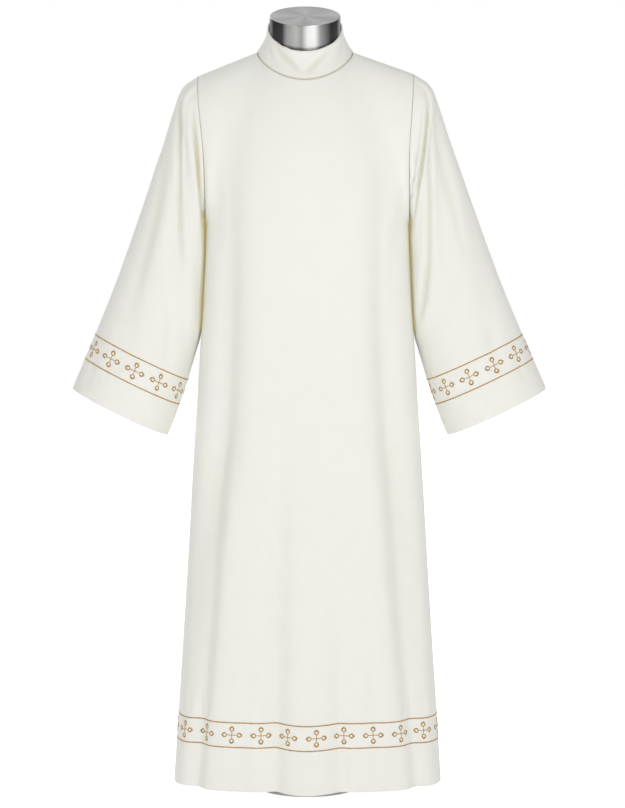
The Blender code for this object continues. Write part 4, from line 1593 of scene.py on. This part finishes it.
@dataclass
class EmbroideredBand:
    """Two gold cords and a row of crosses between them, round a hem or a cuff."""

    name: str
    surface: RingSurface
    lower_line: float
    upper_line: float
    first_cross: float
    pitch: float
    thread: Material
    motif: CrossMotif = field(default_factory=CrossMotif)
    cord_step_mm: float = 1.9
    cord_stitch_mm: float = 3.6
    cord_width_mm: float = 2.4
    cord_height_mm: float = 1.2
    cord_tilt_mm: float = 0.75
    thread_height_mm: float = 0.9
    lift_mm: float = 0.22

    def cross_runs(self) -> Array:
        """Run of each cross's middle, at an even pitch that closes round the ring."""
        count = round(self.surface.length / self.pitch)
        return self.first_cross + np.arange(count) * self.surface.length / count

    def chart(self) -> tuple[Array, Array, Array]:
        """All stitches on the flat band.

        Returns:
            Starts and ends as run and rise in metres, and each stitch's width and height.
        """
        starts, ends, sizes = [], [], []
        count = round(self.surface.length / (self.cord_step_mm * MM))
        middle = (np.arange(count) + 0.5) * self.surface.length / count
        for line in (self.lower_line, self.upper_line):
            half, tilt = self.cord_stitch_mm * MM / 2, self.cord_tilt_mm * MM / 2
            starts.append(np.stack([middle - half, np.full(count, line - tilt)], axis=1))
            ends.append(np.stack([middle + half, np.full(count, line + tilt)], axis=1))
            sizes.append(np.tile([self.cord_width_mm * MM, self.cord_height_mm * MM], (count, 1)))
        marks = self.motif.stitches()
        one_start = np.array([mark.start for mark in marks]) * MM
        one_end = np.array([mark.end for mark in marks]) * MM
        one_size = np.array([(mark.width, self.thread_height_mm) for mark in marks]) * MM
        centre_rise = (self.lower_line + self.upper_line) / 2
        for run in self.cross_runs():
            starts.append(one_start + (run, centre_rise))
            ends.append(one_end + (run, centre_rise))
            sizes.append(one_size)
        return np.concatenate(starts), np.concatenate(ends), np.concatenate(sizes)

    def build(self) -> Piece:
        """Stitch the band onto its surface.

        Returns:
            The band's stitches as one piece.
        """
        starts, ends, sizes = self.chart()
        start_points, start_outs = self.surface.place(starts[:, 0], starts[:, 1])
        end_points, end_outs = self.surface.place(ends[:, 0], ends[:, 1])
        outs = unit(start_outs + end_outs)
        lift = outs * self.lift_mm * MM
        tree = BeadTree(self.name + "_stitches", self.thread)
        return tree.lay(self.name, start_points + lift, end_points + lift, outs, sizes)


@dataclass
class AlbRobe:
    """The robe: front, backs, sleeves and collar, with its embroidery."""

    pattern: RobePattern = field(default_factory=RobePattern)
    hem_lines: tuple[float, float] = (0.0825, 0.1288)
    hem_pitch: float = 0.0555
    hem_first: float = 0.017
    cuff_lines: tuple[float, float] = (0.062, 0.111)
    cuff_pitch: float = 0.051
    # How much stronger the collar's painted crease shade is than its creases' depth
    collar_shade_scale: float = 1.6
    cuff_first: dict[Side, float] = field(default_factory=lambda: {Side.RIGHT: 0.040, Side.LEFT: 0.014})
    hem_ring_rows: int = 60
    cuff_ring_rows: int = 50
    grids: dict[str, Array] = field(default_factory=dict)
    shade_pushes: dict[str, Array] = field(default_factory=dict)
    hearts: dict[str, Array] = field(default_factory=dict)

    def shape(self) -> None:
        """Work out every piece's outer points and the pushes that set its painted shade."""
        for face in Face:
            self.grids[face.name], self.shade_pushes[face.name] = self.pattern.panel(face)
        for side in Side:
            self.grids[side.name], self.shade_pushes[side.name], self.hearts[side.name] = self.pattern.sleeve(side)
        self.grids["collar"], self.shade_pushes["collar"] = self.pattern.collar()

    def hem_ring(self) -> RingSurface:
        """The skirt's lowest part as a closed ring, whose run starts at the wearer's right side seam.

        Returns:
            The ring.
        """
        front, back = (self.grids[face.name][: self.hem_ring_rows] for face in (Face.FRONT, Face.BACK))
        grid = np.concatenate([front[:, :-1], back[:, :-1]], axis=1)
        normals = grid_normals(grid, row_hearts(grid), wrap=True)
        return RingSurface(grid, normals, sum(self.hem_lines) / 2)

    def cuff_ring(self, side: Side) -> RingSurface:
        """A sleeve's end as a closed ring, whose run starts at its top edge and goes through the front.

        Args:
            side: The wearer's side.

        Returns:
            The ring.
        """
        grid = self.grids[side.name][::-1][: self.cuff_ring_rows]
        hearts = self.hearts[side.name][::-1][: self.cuff_ring_rows]
        return RingSurface(grid, grid_normals(grid, hearts, wrap=True), sum(self.cuff_lines) / 2)

    def sew_panels(self, cloth: Material) -> None:
        """Make the front and the two backs.

        Args:
            cloth: The cloth.
        """
        middle = self.grids[Face.BACK.name].shape[1] // 2
        left, right = slice(0, middle + 1), slice(middle, None)
        cuts = (
            ("robe_front", Face.FRONT, slice(None), "front_panel", (0.66, 1.40)),
            ("robe_back_left", Face.BACK, left, "back_panel_left", (0.36, 1.42)),
            ("robe_back_right", Face.BACK, right, "back_panel_right", (0.36, 1.42)),
        )
        for name, face, columns, node, flat in cuts:
            grid = self.grids[face.name][:, columns]
            wall = ClothWall(
                name,
                grid.copy(),
                row_hearts(grid),
                self.shade_pushes[face.name][:, columns],
                seams=(Edge.HIGH, Edge.FIRST, Edge.LAST),
                rolled=(Edge.LOW,),
            )
            wall.sew(cloth, node)

    def sew_sleeves(self, cloth: Material) -> None:
        """Make both sleeves.

        Args:
            cloth: The cloth.
        """
        for side in Side:
            wall = ClothWall(
                f"robe_sleeve_{side.name.lower()}",
                self.grids[side.name].copy(),
                self.hearts[side.name],
                self.shade_pushes[side.name],
                wrap=True,
                seams=(Edge.LOW,),
                rolled=(Edge.HIGH,),
            )
            wall.sew(cloth, f"sleeve_{side.name.lower()}")

    def sew_collar(self, cloth: Material) -> None:
        """Make the stand collar, thick and softly rolled at its top.

        Args:
            cloth: The cloth.
        """
        grid = self.grids["collar"]
        forward = np.clip(np.cos(np.linspace(-math.pi, math.pi, grid.shape[1])), 0.0, 1.0) ** 1.5
        wall = ClothWall(
            "robe_collar",
            grid.copy(),
            row_hearts(grid),
            # Collar creases get painted shade stronger than their depth alone gives
            self.shade_pushes["collar"] * self.collar_shade_scale,
            seams=(Edge.LOW, Edge.FIRST, Edge.LAST),
            rolled=(Edge.HIGH,),
            thickness=0.0024,
            hem_depth=0.005,
            rim_steps=9,
            rim_bulge=0.2,
            roll_extra=0.0008 + 0.0036 * forward,
        )
        wall.sew(cloth, "stand_collar")

    def embroider(self, thread: Material) -> None:
        """Stitch the hem's band and both cuffs' bands.

        Args:
            thread: The thread.
        """
        hem = self.hem_ring()
        centre = (self.grids[Face.FRONT.name].shape[1] - 1) // 2
        start = float(hem.run[centre]) + self.hem_first
        bands = [EmbroideredBand("hem_embroidery", hem, *self.hem_lines, start, self.hem_pitch, thread)]
        for side in Side:
            name = f"cuff_embroidery_{side.name.lower()}"
            ring = self.cuff_ring(side)
            first = self.cuff_first[side]
            bands.append(EmbroideredBand(name, ring, *self.cuff_lines, first, self.cuff_pitch, thread))
        for band in bands:
            dress(band.build(), "robe_cloth")

    def build(self, cloth: Material, thread: Material) -> None:
        """Make every piece of the robe.

        Args:
            cloth: The cloth.
            thread: The thread.
        """
        self.shape()
        self.sew_panels(cloth)
        self.sew_sleeves(cloth)
        self.sew_collar(cloth)
        self.embroider(thread)


@dataclass
class BackZip:
    """The concealed zip of the centre-back opening: tape, teeth, slider, cloth pull and its stitching."""

    robe: AlbRobe
    low_height: float = 1.050
    tape_half_width: float = 0.006
    tape_depth: float = 0.0030
    tape_thickness: float = 0.0010
    tooth_pitch: float = 0.0024
    tooth_half: float = 0.0016
    tooth_rise: float = 0.0006
    tooth_size: tuple[float, float] = (0.0013, 0.0011)
    teeth_margins: tuple[float, float] = (0.004, 0.018)
    stitch_offset: float = 0.0075
    stitch_pitch: float = 0.0036
    stitch_length: float = 0.0026
    stitch_size: tuple[float, float] = (0.0006, 0.0005)
    stitch_lift: float = 0.0001
    slider_drop: float = 0.004
    slider_length: float = 0.010
    pull_gap: float = 0.0006
    pull_length: float = 0.030
    small_half_width: float = 0.0030
    edge_points: int = 5

    def back_line(self, offset: float = 0.0, top: bool = True) -> Array:
        """Points up the centre back, at an offset along the cloth from the seam.

        Args:
            offset: Distance to the wearer's left, negative to the right.
            top: Whether the line goes on up the collar.

        Returns:
            The points, low to high.
        """
        back = self.robe.grids[Face.BACK.name]
        middle = back.shape[1] // 2
        rows = back[back[:, middle, 2] > self.low_height]
        run = arc_lengths(rows, 1)
        run -= run[:, [middle]]
        line = np.array([self.read_line(r, row, np.array([-offset]))[0] for r, row in zip(run, rows)])
        if top:
            line = np.concatenate([line[:-1], self.robe.grids["collar"][:, 0]])
        return line

    def read_line(self, run: Array, values: Array, at: Array) -> Array:
        """Vectors at places of a run along which others are given."""
        return np.stack([np.interp(at, run, values[:, axis]) for axis in range(3)], axis=1)

    def along_line(self, line: Array, at: Array) -> Array:
        """Points at distances along a line."""
        return self.read_line(arc_lengths(line, 0), line, at)

    def outward_at(self, line: Array, at: Array) -> Array:
        """Directions away from the back at distances along a line."""
        return self.read_line(arc_lengths(line, 0), self.outward(line), at)

    def outward(self, line: Array) -> Array:
        """Unit directions away from the back, square to a line.

        Args:
            line: Points of the line.

        Returns:
            The directions.
        """
        along = unit(np.gradient(line, axis=0))
        out = np.cross(along, np.array([1.0, 0.0, 0.0]))
        return unit(out * np.sign(out[:, 1:2] + 1e-9))

    def strip(self, line: Array, half_width: float, near: float, far: float) -> tuple[Array, Faces]:
        """A strip of tape along a line, with softly rounded edges.

        Args:
            line: Its middle line on the cloth.
            half_width: Half its width.
            near: Offset of one face from the line, outwards.
            far: Offset of the other face.

        Returns:
            The strip's points and faces.
        """
        outs = self.outward(line)
        middle, half = (near + far) / 2, abs(far - near) / 2
        turn = np.linspace(-math.pi / 2, math.pi / 2, self.edge_points)
        profile = [(half_width + half * (math.cos(a) - 1), half * math.sin(a)) for a in turn]
        profile += [(-x, -y) for x, y in profile]
        rows = [
            [point + out * (middle + y) + np.array([x, 0.0, 0.0]) for x, y in profile]
            for point, out in zip(line, outs)
        ]
        return np.array(rows).reshape(-1, 3), ring_faces(len(rows), len(profile))

    def build(self, tape: Material, metal: Material, thread: Material) -> None:
        """Make the zip's pieces.

        Args:
            tape: Woven tape.
            metal: Slider and teeth.
            thread: The stitching's thread.
        """
        line = self.back_line()
        far = -self.tape_depth - self.tape_thickness
        points, faces = self.strip(line, self.tape_half_width, -self.tape_depth, far)
        piece = dress(closed_mesh("zip_tape_woven", points, faces, [tape], 60), "zip_cloth", "zip_tape")
        self.lay_teeth(line, metal)
        self.make_slider(tape, metal)
        self.stitch_opening(thread)

    def lay_teeth(self, line: Array, metal: Material) -> None:
        """Lay the coil's teeth on the tape, hidden behind the closed seam.

        Args:
            line: Points of the line.
            metal: The metal.
        """
        length = arc_lengths(line, 0)[-1]
        first, last = self.teeth_margins
        at = np.arange(first, length - last, self.tooth_pitch)
        points = self.along_line(line, at)
        outs = self.outward_at(line, at)
        deep = points - outs * (self.tape_depth - self.tooth_rise)
        half = np.array([self.tooth_half, 0.0, 0.0])
        tree = BeadTree("zip_coil", metal, unevenness=0.0)
        sizes = np.tile(self.tooth_size, (len(at), 1))
        dress(tree.lay("zip_coil_teeth", deep - half, deep + half, unit(outs), sizes), "zip_metal")

    def make_slider(self, tape: Material, metal: Material) -> None:
        """Make the slider at the collar's top and the folded cloth pull below it.

        Args:
            tape: The woven tape.
            metal: The metal.
        """
        down = self.robe.grids["collar"][::-1, 0]
        end = self.slider_drop + self.slider_length
        slider_line = self.along_line(down, np.linspace(self.slider_drop, end, 9))
        points, faces = self.strip(slider_line, self.small_half_width, 0.0010, 0.0034)
        dress(closed_mesh("zip_slider_body", points, faces, [metal], 60), "zip_metal", "zip_slider")
        start = end + self.pull_gap
        pull_line = self.along_line(down, np.linspace(start, start + self.pull_length, 14))
        points, faces = self.strip(pull_line, self.small_half_width, 0.0012, 0.0022)
        dress(closed_mesh("zip_pull_ribbon", points, faces, [tape], 60), "zip_cloth", "zip_pull")

    def stitch_opening(self, thread: Material) -> None:
        """Stitch down each side of the opening and across its low end.

        Args:
            thread: The thread.
        """
        starts, ends, outs = [], [], []
        for side in Side:
            line = self.back_line(side.value * self.stitch_offset, top=False)
            length = arc_lengths(line, 0)[-1]
            at = np.arange(0.002, length - 0.004, self.stitch_pitch)
            starts.append(self.along_line(line, at))
            ends.append(self.along_line(line, at + self.stitch_length))
            outs.append(self.outward_at(line, at))
        across = np.linspace(-self.stitch_offset, self.stitch_offset, 5)
        low = np.array([self.back_line(x, top=False)[0] for x in across])
        starts.append(low[:-1])
        ends.append(low[:-1] + (low[1:] - low[:-1]) * 0.75)
        outs.append(np.tile([0.0, 1.0, 0.0], (4, 1)))
        out = unit(np.concatenate(outs))
        lift = out * self.stitch_lift
        tree = BeadTree("opening_stitch", thread)
        first, second = np.concatenate(starts) + lift, np.concatenate(ends) + lift
        sizes = np.tile(self.stitch_size, (len(first), 1))
        dress(tree.lay("zip_opening_stitches", first, second, out, sizes), "robe_cloth")


class FormRing(NamedTuple):
    """A ring of the torso, with its heights at front, side and back."""

    half_width: float
    front: float
    back: float
    centre_y: float
    front_z: float
    side_z: float
    back_z: float


@dataclass
class DressForm:
    """The limbless form: smooth torso, brushed steel neck cap, pole and base plate."""

    pattern: RobePattern = field(default_factory=RobePattern)
    bottom: float = 0.640
    neck_radius: float = 0.060
    neck_tilt: float = math.radians(22)
    cap_radius: float = 0.0662
    cap_height: float = 0.050
    cap_top: tuple[float, float, float] = (-0.0045, -0.018, 1.460)
    cap_bevel: float = 0.0012
    sides: int = 112
    rows_between: int = 5
    square: float = 2.2
    gap: float = 0.0003
    wall: float = 0.002
    clearance: float = 0.0005
    pole_radius: float = 0.0125
    base_radius: float = 0.100
    base_thickness: float = 0.005
    boss_radius: float = 0.020
    boss_height: float = 0.030

    def ridge(self, side_z: float, front: float, back: float, front_z: float, back_z: float) -> FormRing:
        """Ring whose sides lie just under the shoulder seam.

        Args:
            side_z: Height at the sides.
            front: Depth in front.
            back: Depth behind.
            front_z: Height in front.
            back_z: Height behind.

        Returns:
            The ring.
        """
        pattern = self.pattern
        slope = (COLLAR_BASE.side_z - pattern.shoulder_height) / (
            pattern.shoulder_half_width - COLLAR_BASE.half_width
        )
        drop = (self.wall + self.clearance) * math.hypot(1, slope)
        half_width = pattern.shoulder_half_width - (side_z - pattern.shoulder_height + drop) / slope
        return FormRing(half_width, front, back, 0.0, front_z, side_z, back_z)

    def rings(self) -> list[FormRing]:
        """Rings from the hips to the neck.

        Returns:
            The rings, low to high.
        """
        axis = np.array([0.0, -math.sin(self.neck_tilt), math.cos(self.neck_tilt)])
        top = np.array([0.0, *self.cap_top[1:]]) - axis * (self.cap_height + self.gap)
        depth = self.neck_radius * math.cos(self.neck_tilt)
        rise = self.neck_radius * math.sin(self.neck_tilt)
        level = (
            (0.640, 0.138, 0.084, 0.088),
            (0.655, 0.152, 0.094, 0.098),
            (0.720, 0.166, 0.104, 0.110),
            (0.800, 0.166, 0.104, 0.108),
            (0.880, 0.154, 0.100, 0.098),
            (0.960, 0.147, 0.098, 0.092),
            (1.050, 0.154, 0.105, 0.096),
            (1.140, 0.164, 0.109, 0.100),
            (1.220, 0.170, 0.098, 0.092),
        )
        found = [FormRing(width, front, back, 0.0, z, z, z) for z, width, front, back in level]
        return found + [
            FormRing(0.172, 0.084, 0.078, 0.0, 1.262, 1.280, 1.262),
            FormRing(0.175, 0.074, 0.068, 0.0, 1.286, 1.318, 1.286),
            FormRing(0.176, 0.066, 0.061, 0.0, 1.302, 1.340, 1.302),
            self.ridge(1.3575, 0.061, 0.056, 1.314, 1.314),
            self.ridge(1.3680, 0.059, 0.055, 1.324, 1.326),
            self.ridge(1.3790, 0.058, 0.055, 1.334, 1.338),
            FormRing(0.083, 0.058, 0.057, 0.0, 1.346, 1.3875, 1.355),
            FormRing(0.066, 0.056, 0.057, 0.0, 1.362, 1.397, 1.385),
            FormRing(self.neck_radius, depth, depth, top[1], top[2] - rise, top[2], top[2] + rise),
        ]

    def make_torso(self, cover: Material) -> None:
        """Make the torso, one closed surface with a flat underside and a tilted neck end.

        Args:
            cover: The form's cover.
        """
        table = self.rings()
        count = self.rows_between * (len(table) - 1) + 1
        rings = read_rows(table, np.linspace(0, len(table) - 1, count))
        angle = 2 * math.pi * np.arange(self.sides) / self.sides
        s, c = np.sin(angle), np.cos(angle)
        points = []
        for values in rings:
            ring = FormRing(*values)
            neck = smooth_step((ring.side_z - 1.37) / 0.03)
            power = 2 / (self.square + (2.0 - self.square) * neck)
            loop = CollarLoop(0, 0, 0, ring.front_z, ring.side_z, ring.back_z)
            height = self.pattern.loop_height(loop, angle)
            x = ring.half_width * np.sign(s) * np.abs(s) ** power + self.pattern.lean(height)
            depth = np.where(c > 0, ring.front, ring.back)
            y = ring.centre_y - np.sign(c) * np.abs(c) ** power * depth
            points.append(np.stack([x, y, height], axis=1))
        faces = ring_faces(len(points), self.sides)
        piece = closed_mesh("form_body", np.concatenate(points), faces, [cover], 60)
        dress(piece, "form_cover", "form_torso")

    def turn(
        self, name: str, profile: Sequence[tuple[float, float]], sides: int, materials: Sequence[Material]
    ) -> Piece:
        """A closed piece turned about the z axis.

        Args:
            name: The piece's name.
            profile: Radius and height pairs, low to high.
            sides: Points round it.
            materials: Its materials.

        Returns:
            The piece.
        """
        angle = 2 * math.pi * np.arange(sides) / sides
        circle = np.stack([np.cos(angle), np.sin(angle)], axis=1)
        rows = [np.column_stack([r * circle, np.full(sides, z)]) for r, z in profile]
        faces = ring_faces(len(rows), sides)
        return closed_mesh(name, np.concatenate(rows), faces, materials, 50)

    def make_cap(self, side_steel: Material, top_steel: Material) -> None:
        """Make the neck cap, with a small rounded edge and a flat top.

        Args:
            side_steel: Steel of the cap's side.
            top_steel: Steel of its top.
        """
        r, h, b = self.cap_radius, self.cap_height, self.cap_bevel
        turn = np.linspace(0, math.pi / 2, 4)
        low = [(r - b + b * math.sin(a), -h + b - b * math.cos(a)) for a in turn]
        high = [(r - b + b * math.cos(a), -b + b * math.sin(a)) for a in turn]
        cap = self.turn("form_cap", low + high, 160, [side_steel, top_steel])
        mesh = cap.data
        for face in mesh.polygons:
            if face.normal.z > 0.9:
                face.material_index = 1
        co = np.zeros(len(mesh.vertices) * 3)
        mesh.vertices.foreach_get("co", co)
        co = co.reshape(-1, 3)
        cos, sin = math.cos(self.neck_tilt), math.sin(self.neck_tilt)
        x, y, z = co.T
        tilted = np.stack([x, y * cos - z * sin, y * sin + z * cos], axis=1)
        mesh.vertices.foreach_set("co", (tilted + np.array(self.cap_top)).reshape(-1))
        mesh.update()
        dress(cap, "neck_steel", "neck_cap")

    def make_stand(self, steel: Material, coat: Material) -> None:
        """Make the pole and the base plate.

        Args:
            steel: The pole's steel.
            coat: The base plate's paint.
        """
        radius, thick = self.base_radius, self.base_thickness
        turn = np.linspace(0, math.pi / 2, 4)
        base = [
            (radius - 0.001, 0.0),
            (radius, 0.001),
            *[(radius - 0.001 + 0.001 * math.cos(a), thick - 0.001 + 0.001 * math.sin(a)) for a in turn],
            (self.boss_radius + 0.010, thick + 0.002),
            (self.boss_radius + 0.004, thick + 0.004),
            (self.boss_radius + 0.001, thick + 0.008),
            (self.boss_radius, self.boss_height - 0.001),
            (self.boss_radius - 0.001, self.boss_height),
        ]
        dress(self.turn("stand_plate", base, 128, [coat]), "base_paint", "stand_base")
        pole = [(self.pole_radius, self.boss_height + self.gap), (self.pole_radius, self.bottom - self.gap)]
        dress(self.turn("stand_tube", pole, 64, [steel]), "pole_steel", "stand_pole")


@dataclass
class Studio:
    """Pale floor, soft light and the camera."""

    lens: float = 100.0
    sensor: float = 36.0
    eye: tuple[float, float, float] = (0.00945, -4.25, 1.004)
    tilt_degrees: float = 3.66
    room_light: float = 0.46
    backdrop_light: float = 1.0
    floor_half: float = 14.0
    floor_colour: str = "#FAF9F7"
    floor_glow: float = 0.28
    floor_seen: float = 0.95

    def by_camera(self, tree: Tree, unseen: float, seen: float) -> Socket:
        """One strength for light that bounces, another for what the camera sees straight on.

        Args:
            tree: The tree to add to.
            unseen: Strength for light that bounces.
            seen: Strength as the camera sees it.

        Returns:
            The strength's socket.
        """
        direct = add_node(tree, "ShaderNodeLightPath").outputs["Is Camera Ray"]
        values = {"Value": direct, "To Min": unseen, "To Max": seen}
        return add_node(tree, "ShaderNodeMapRange", inputs=values).outputs["Result"]

    def make_floor(self) -> None:
        """Make the floor, which isn't part of the object."""
        h = self.floor_half
        mesh = bpy.data.meshes.new("studio_floor")
        mesh.from_pydata([(-h, -h, 0), (h, -h, 0), (h, h, 0), (-h, h, 0)], [], [(0, 1, 2, 3)])
        paint = PlainCoat("studio_floor_paint", self.floor_colour, roughness=0.7, grain_mm=4.0).material()
        shader = paint.node_tree.nodes["Principled BSDF"]
        shader.inputs["Emission Color"].default_value = (1.0, 1.0, 1.0, 1.0)
        tree = paint.node_tree
        glow = self.by_camera(tree, self.floor_glow, self.floor_seen)
        tree.links.new(glow, shader.inputs["Emission Strength"])
        mesh_object("studio_floor", mesh, [paint])

    def make_room(self) -> None:
        """Give the room its even light, against a backdrop that is itself lit white."""
        world = bpy.data.worlds.new("studio_room")
        world.use_nodes = True
        tree = world.node_tree
        strength = self.by_camera(tree, self.room_light, self.backdrop_light)
        background = tree.nodes["Background"]
        background.inputs["Color"].default_value = (1.0, 1.0, 1.0, 1.0)
        tree.links.new(strength, background.inputs["Strength"])
        bpy.context.scene.world = world

    def add_lamp(
        self, name: str, place: Sequence[float], aim: Sequence[float], size: float, watts: float
    ) -> None:
        """Add a square softbox.

        Args:
            name: The lamp's name.
            place: Its middle.
            aim: The point that it faces.
            size: Its side.
            watts: Its power.
        """
        light = bpy.data.lights.new(name, "AREA")
        light.size = size
        light.energy = watts
        lamp = bpy.data.objects.new(name, light)
        bpy.context.scene.collection.objects.link(lamp)
        direction = np.array(aim) - np.array(place)
        lamp.location = place
        yaw = math.atan2(direction[0], -direction[1])
        pitch = math.atan2(math.hypot(direction[0], direction[1]), -direction[2])
        lamp.rotation_euler = (pitch, 0.0, yaw + math.pi)

    def make_camera(self) -> None:
        """Set the camera at the photograph's height and distance."""
        data = bpy.data.cameras.new("studio_camera")
        data.lens = self.lens
        data.sensor_width = self.sensor
        camera = bpy.data.objects.new("studio_camera", data)
        bpy.context.scene.collection.objects.link(camera)
        camera.location = self.eye
        camera.rotation_euler = (math.radians(90 - self.tilt_degrees), 0.0, 0.0)
        bpy.context.scene.camera = camera

    def build(self) -> None:
        """Make the whole studio."""
        bpy.context.scene.view_settings.view_transform = "Standard"
        self.make_floor()
        self.make_room()
        self.add_lamp("key_softbox", (2.0, -3.9, 2.8), (0.0, 0.0, 0.95), 1.2, 58.0)
        self.add_lamp("fill_softbox", (-2.6, -3.8, 2.2), (0.0, 0.0, 1.0), 1.6, 33.0)
        self.add_lamp("rear_softbox", (-2.2, 3.9, 3.3), (0.0, 0.0, 0.8), 1.6, 44.0)
        self.make_camera()


def main() -> None:
    """Build the robe, its zip, the form and the studio."""
    logging.basicConfig(level=logging.INFO, format="%(name)s: %(message)s")
    LOG.info("frame holds %d nodes", len(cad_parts))
    cloth = IvoryTwill().material()
    gold = Thread().material()
    ivory_thread = Thread("ivory_thread", "#EFECE2", "#DEDACC", 0.5).material()
    tape = WovenTape("ivory_zip_tape", "#F0EDE3", "#DAD6C8").material()
    cover = WovenTape("cream_jersey", "#E3DCCB", "#CFC6B2", 1.2).material()
    robe = AlbRobe()
    robe.build(cloth, gold)
    form = DressForm()
    # The cap's side carries painted reflection bands
    side = TurnedSteel("steel_side_painted_reflections", CAP_SIDE_PAINTED_REFLECTIONS, form.cap_top, form.neck_tilt)
    # The cap's top carries a painted sheen
    top = TurnedSteel("steel_top_painted_sheen", CAP_TOP_PAINTED_SHEEN, form.cap_top, form.neck_tilt, 0.4, True)
    # The tube's tone is lighter on one side, a painted reflection band
    tube = TurnedSteel("satin_steel_tube_painted_reflection", ((0.0, "#A0A0A0"), (0.5, "#C0C0C0"), (1.0, "#A0A0A0")))
    nickel = TurnedSteel("satin_nickel", ((0.0, "#B8B6B0"), (1.0, "#B8B6B0")))
    BackZip(robe).build(tape, nickel.material(), ivory_thread)
    form.make_torso(cover)
    form.make_cap(side.material(), top.material())
    form.make_stand(tube.material(), PlainCoat("off_white_powder_coat", "#E6E4DE").material())
    Studio().build()


if __name__ == "__main__":
    main()
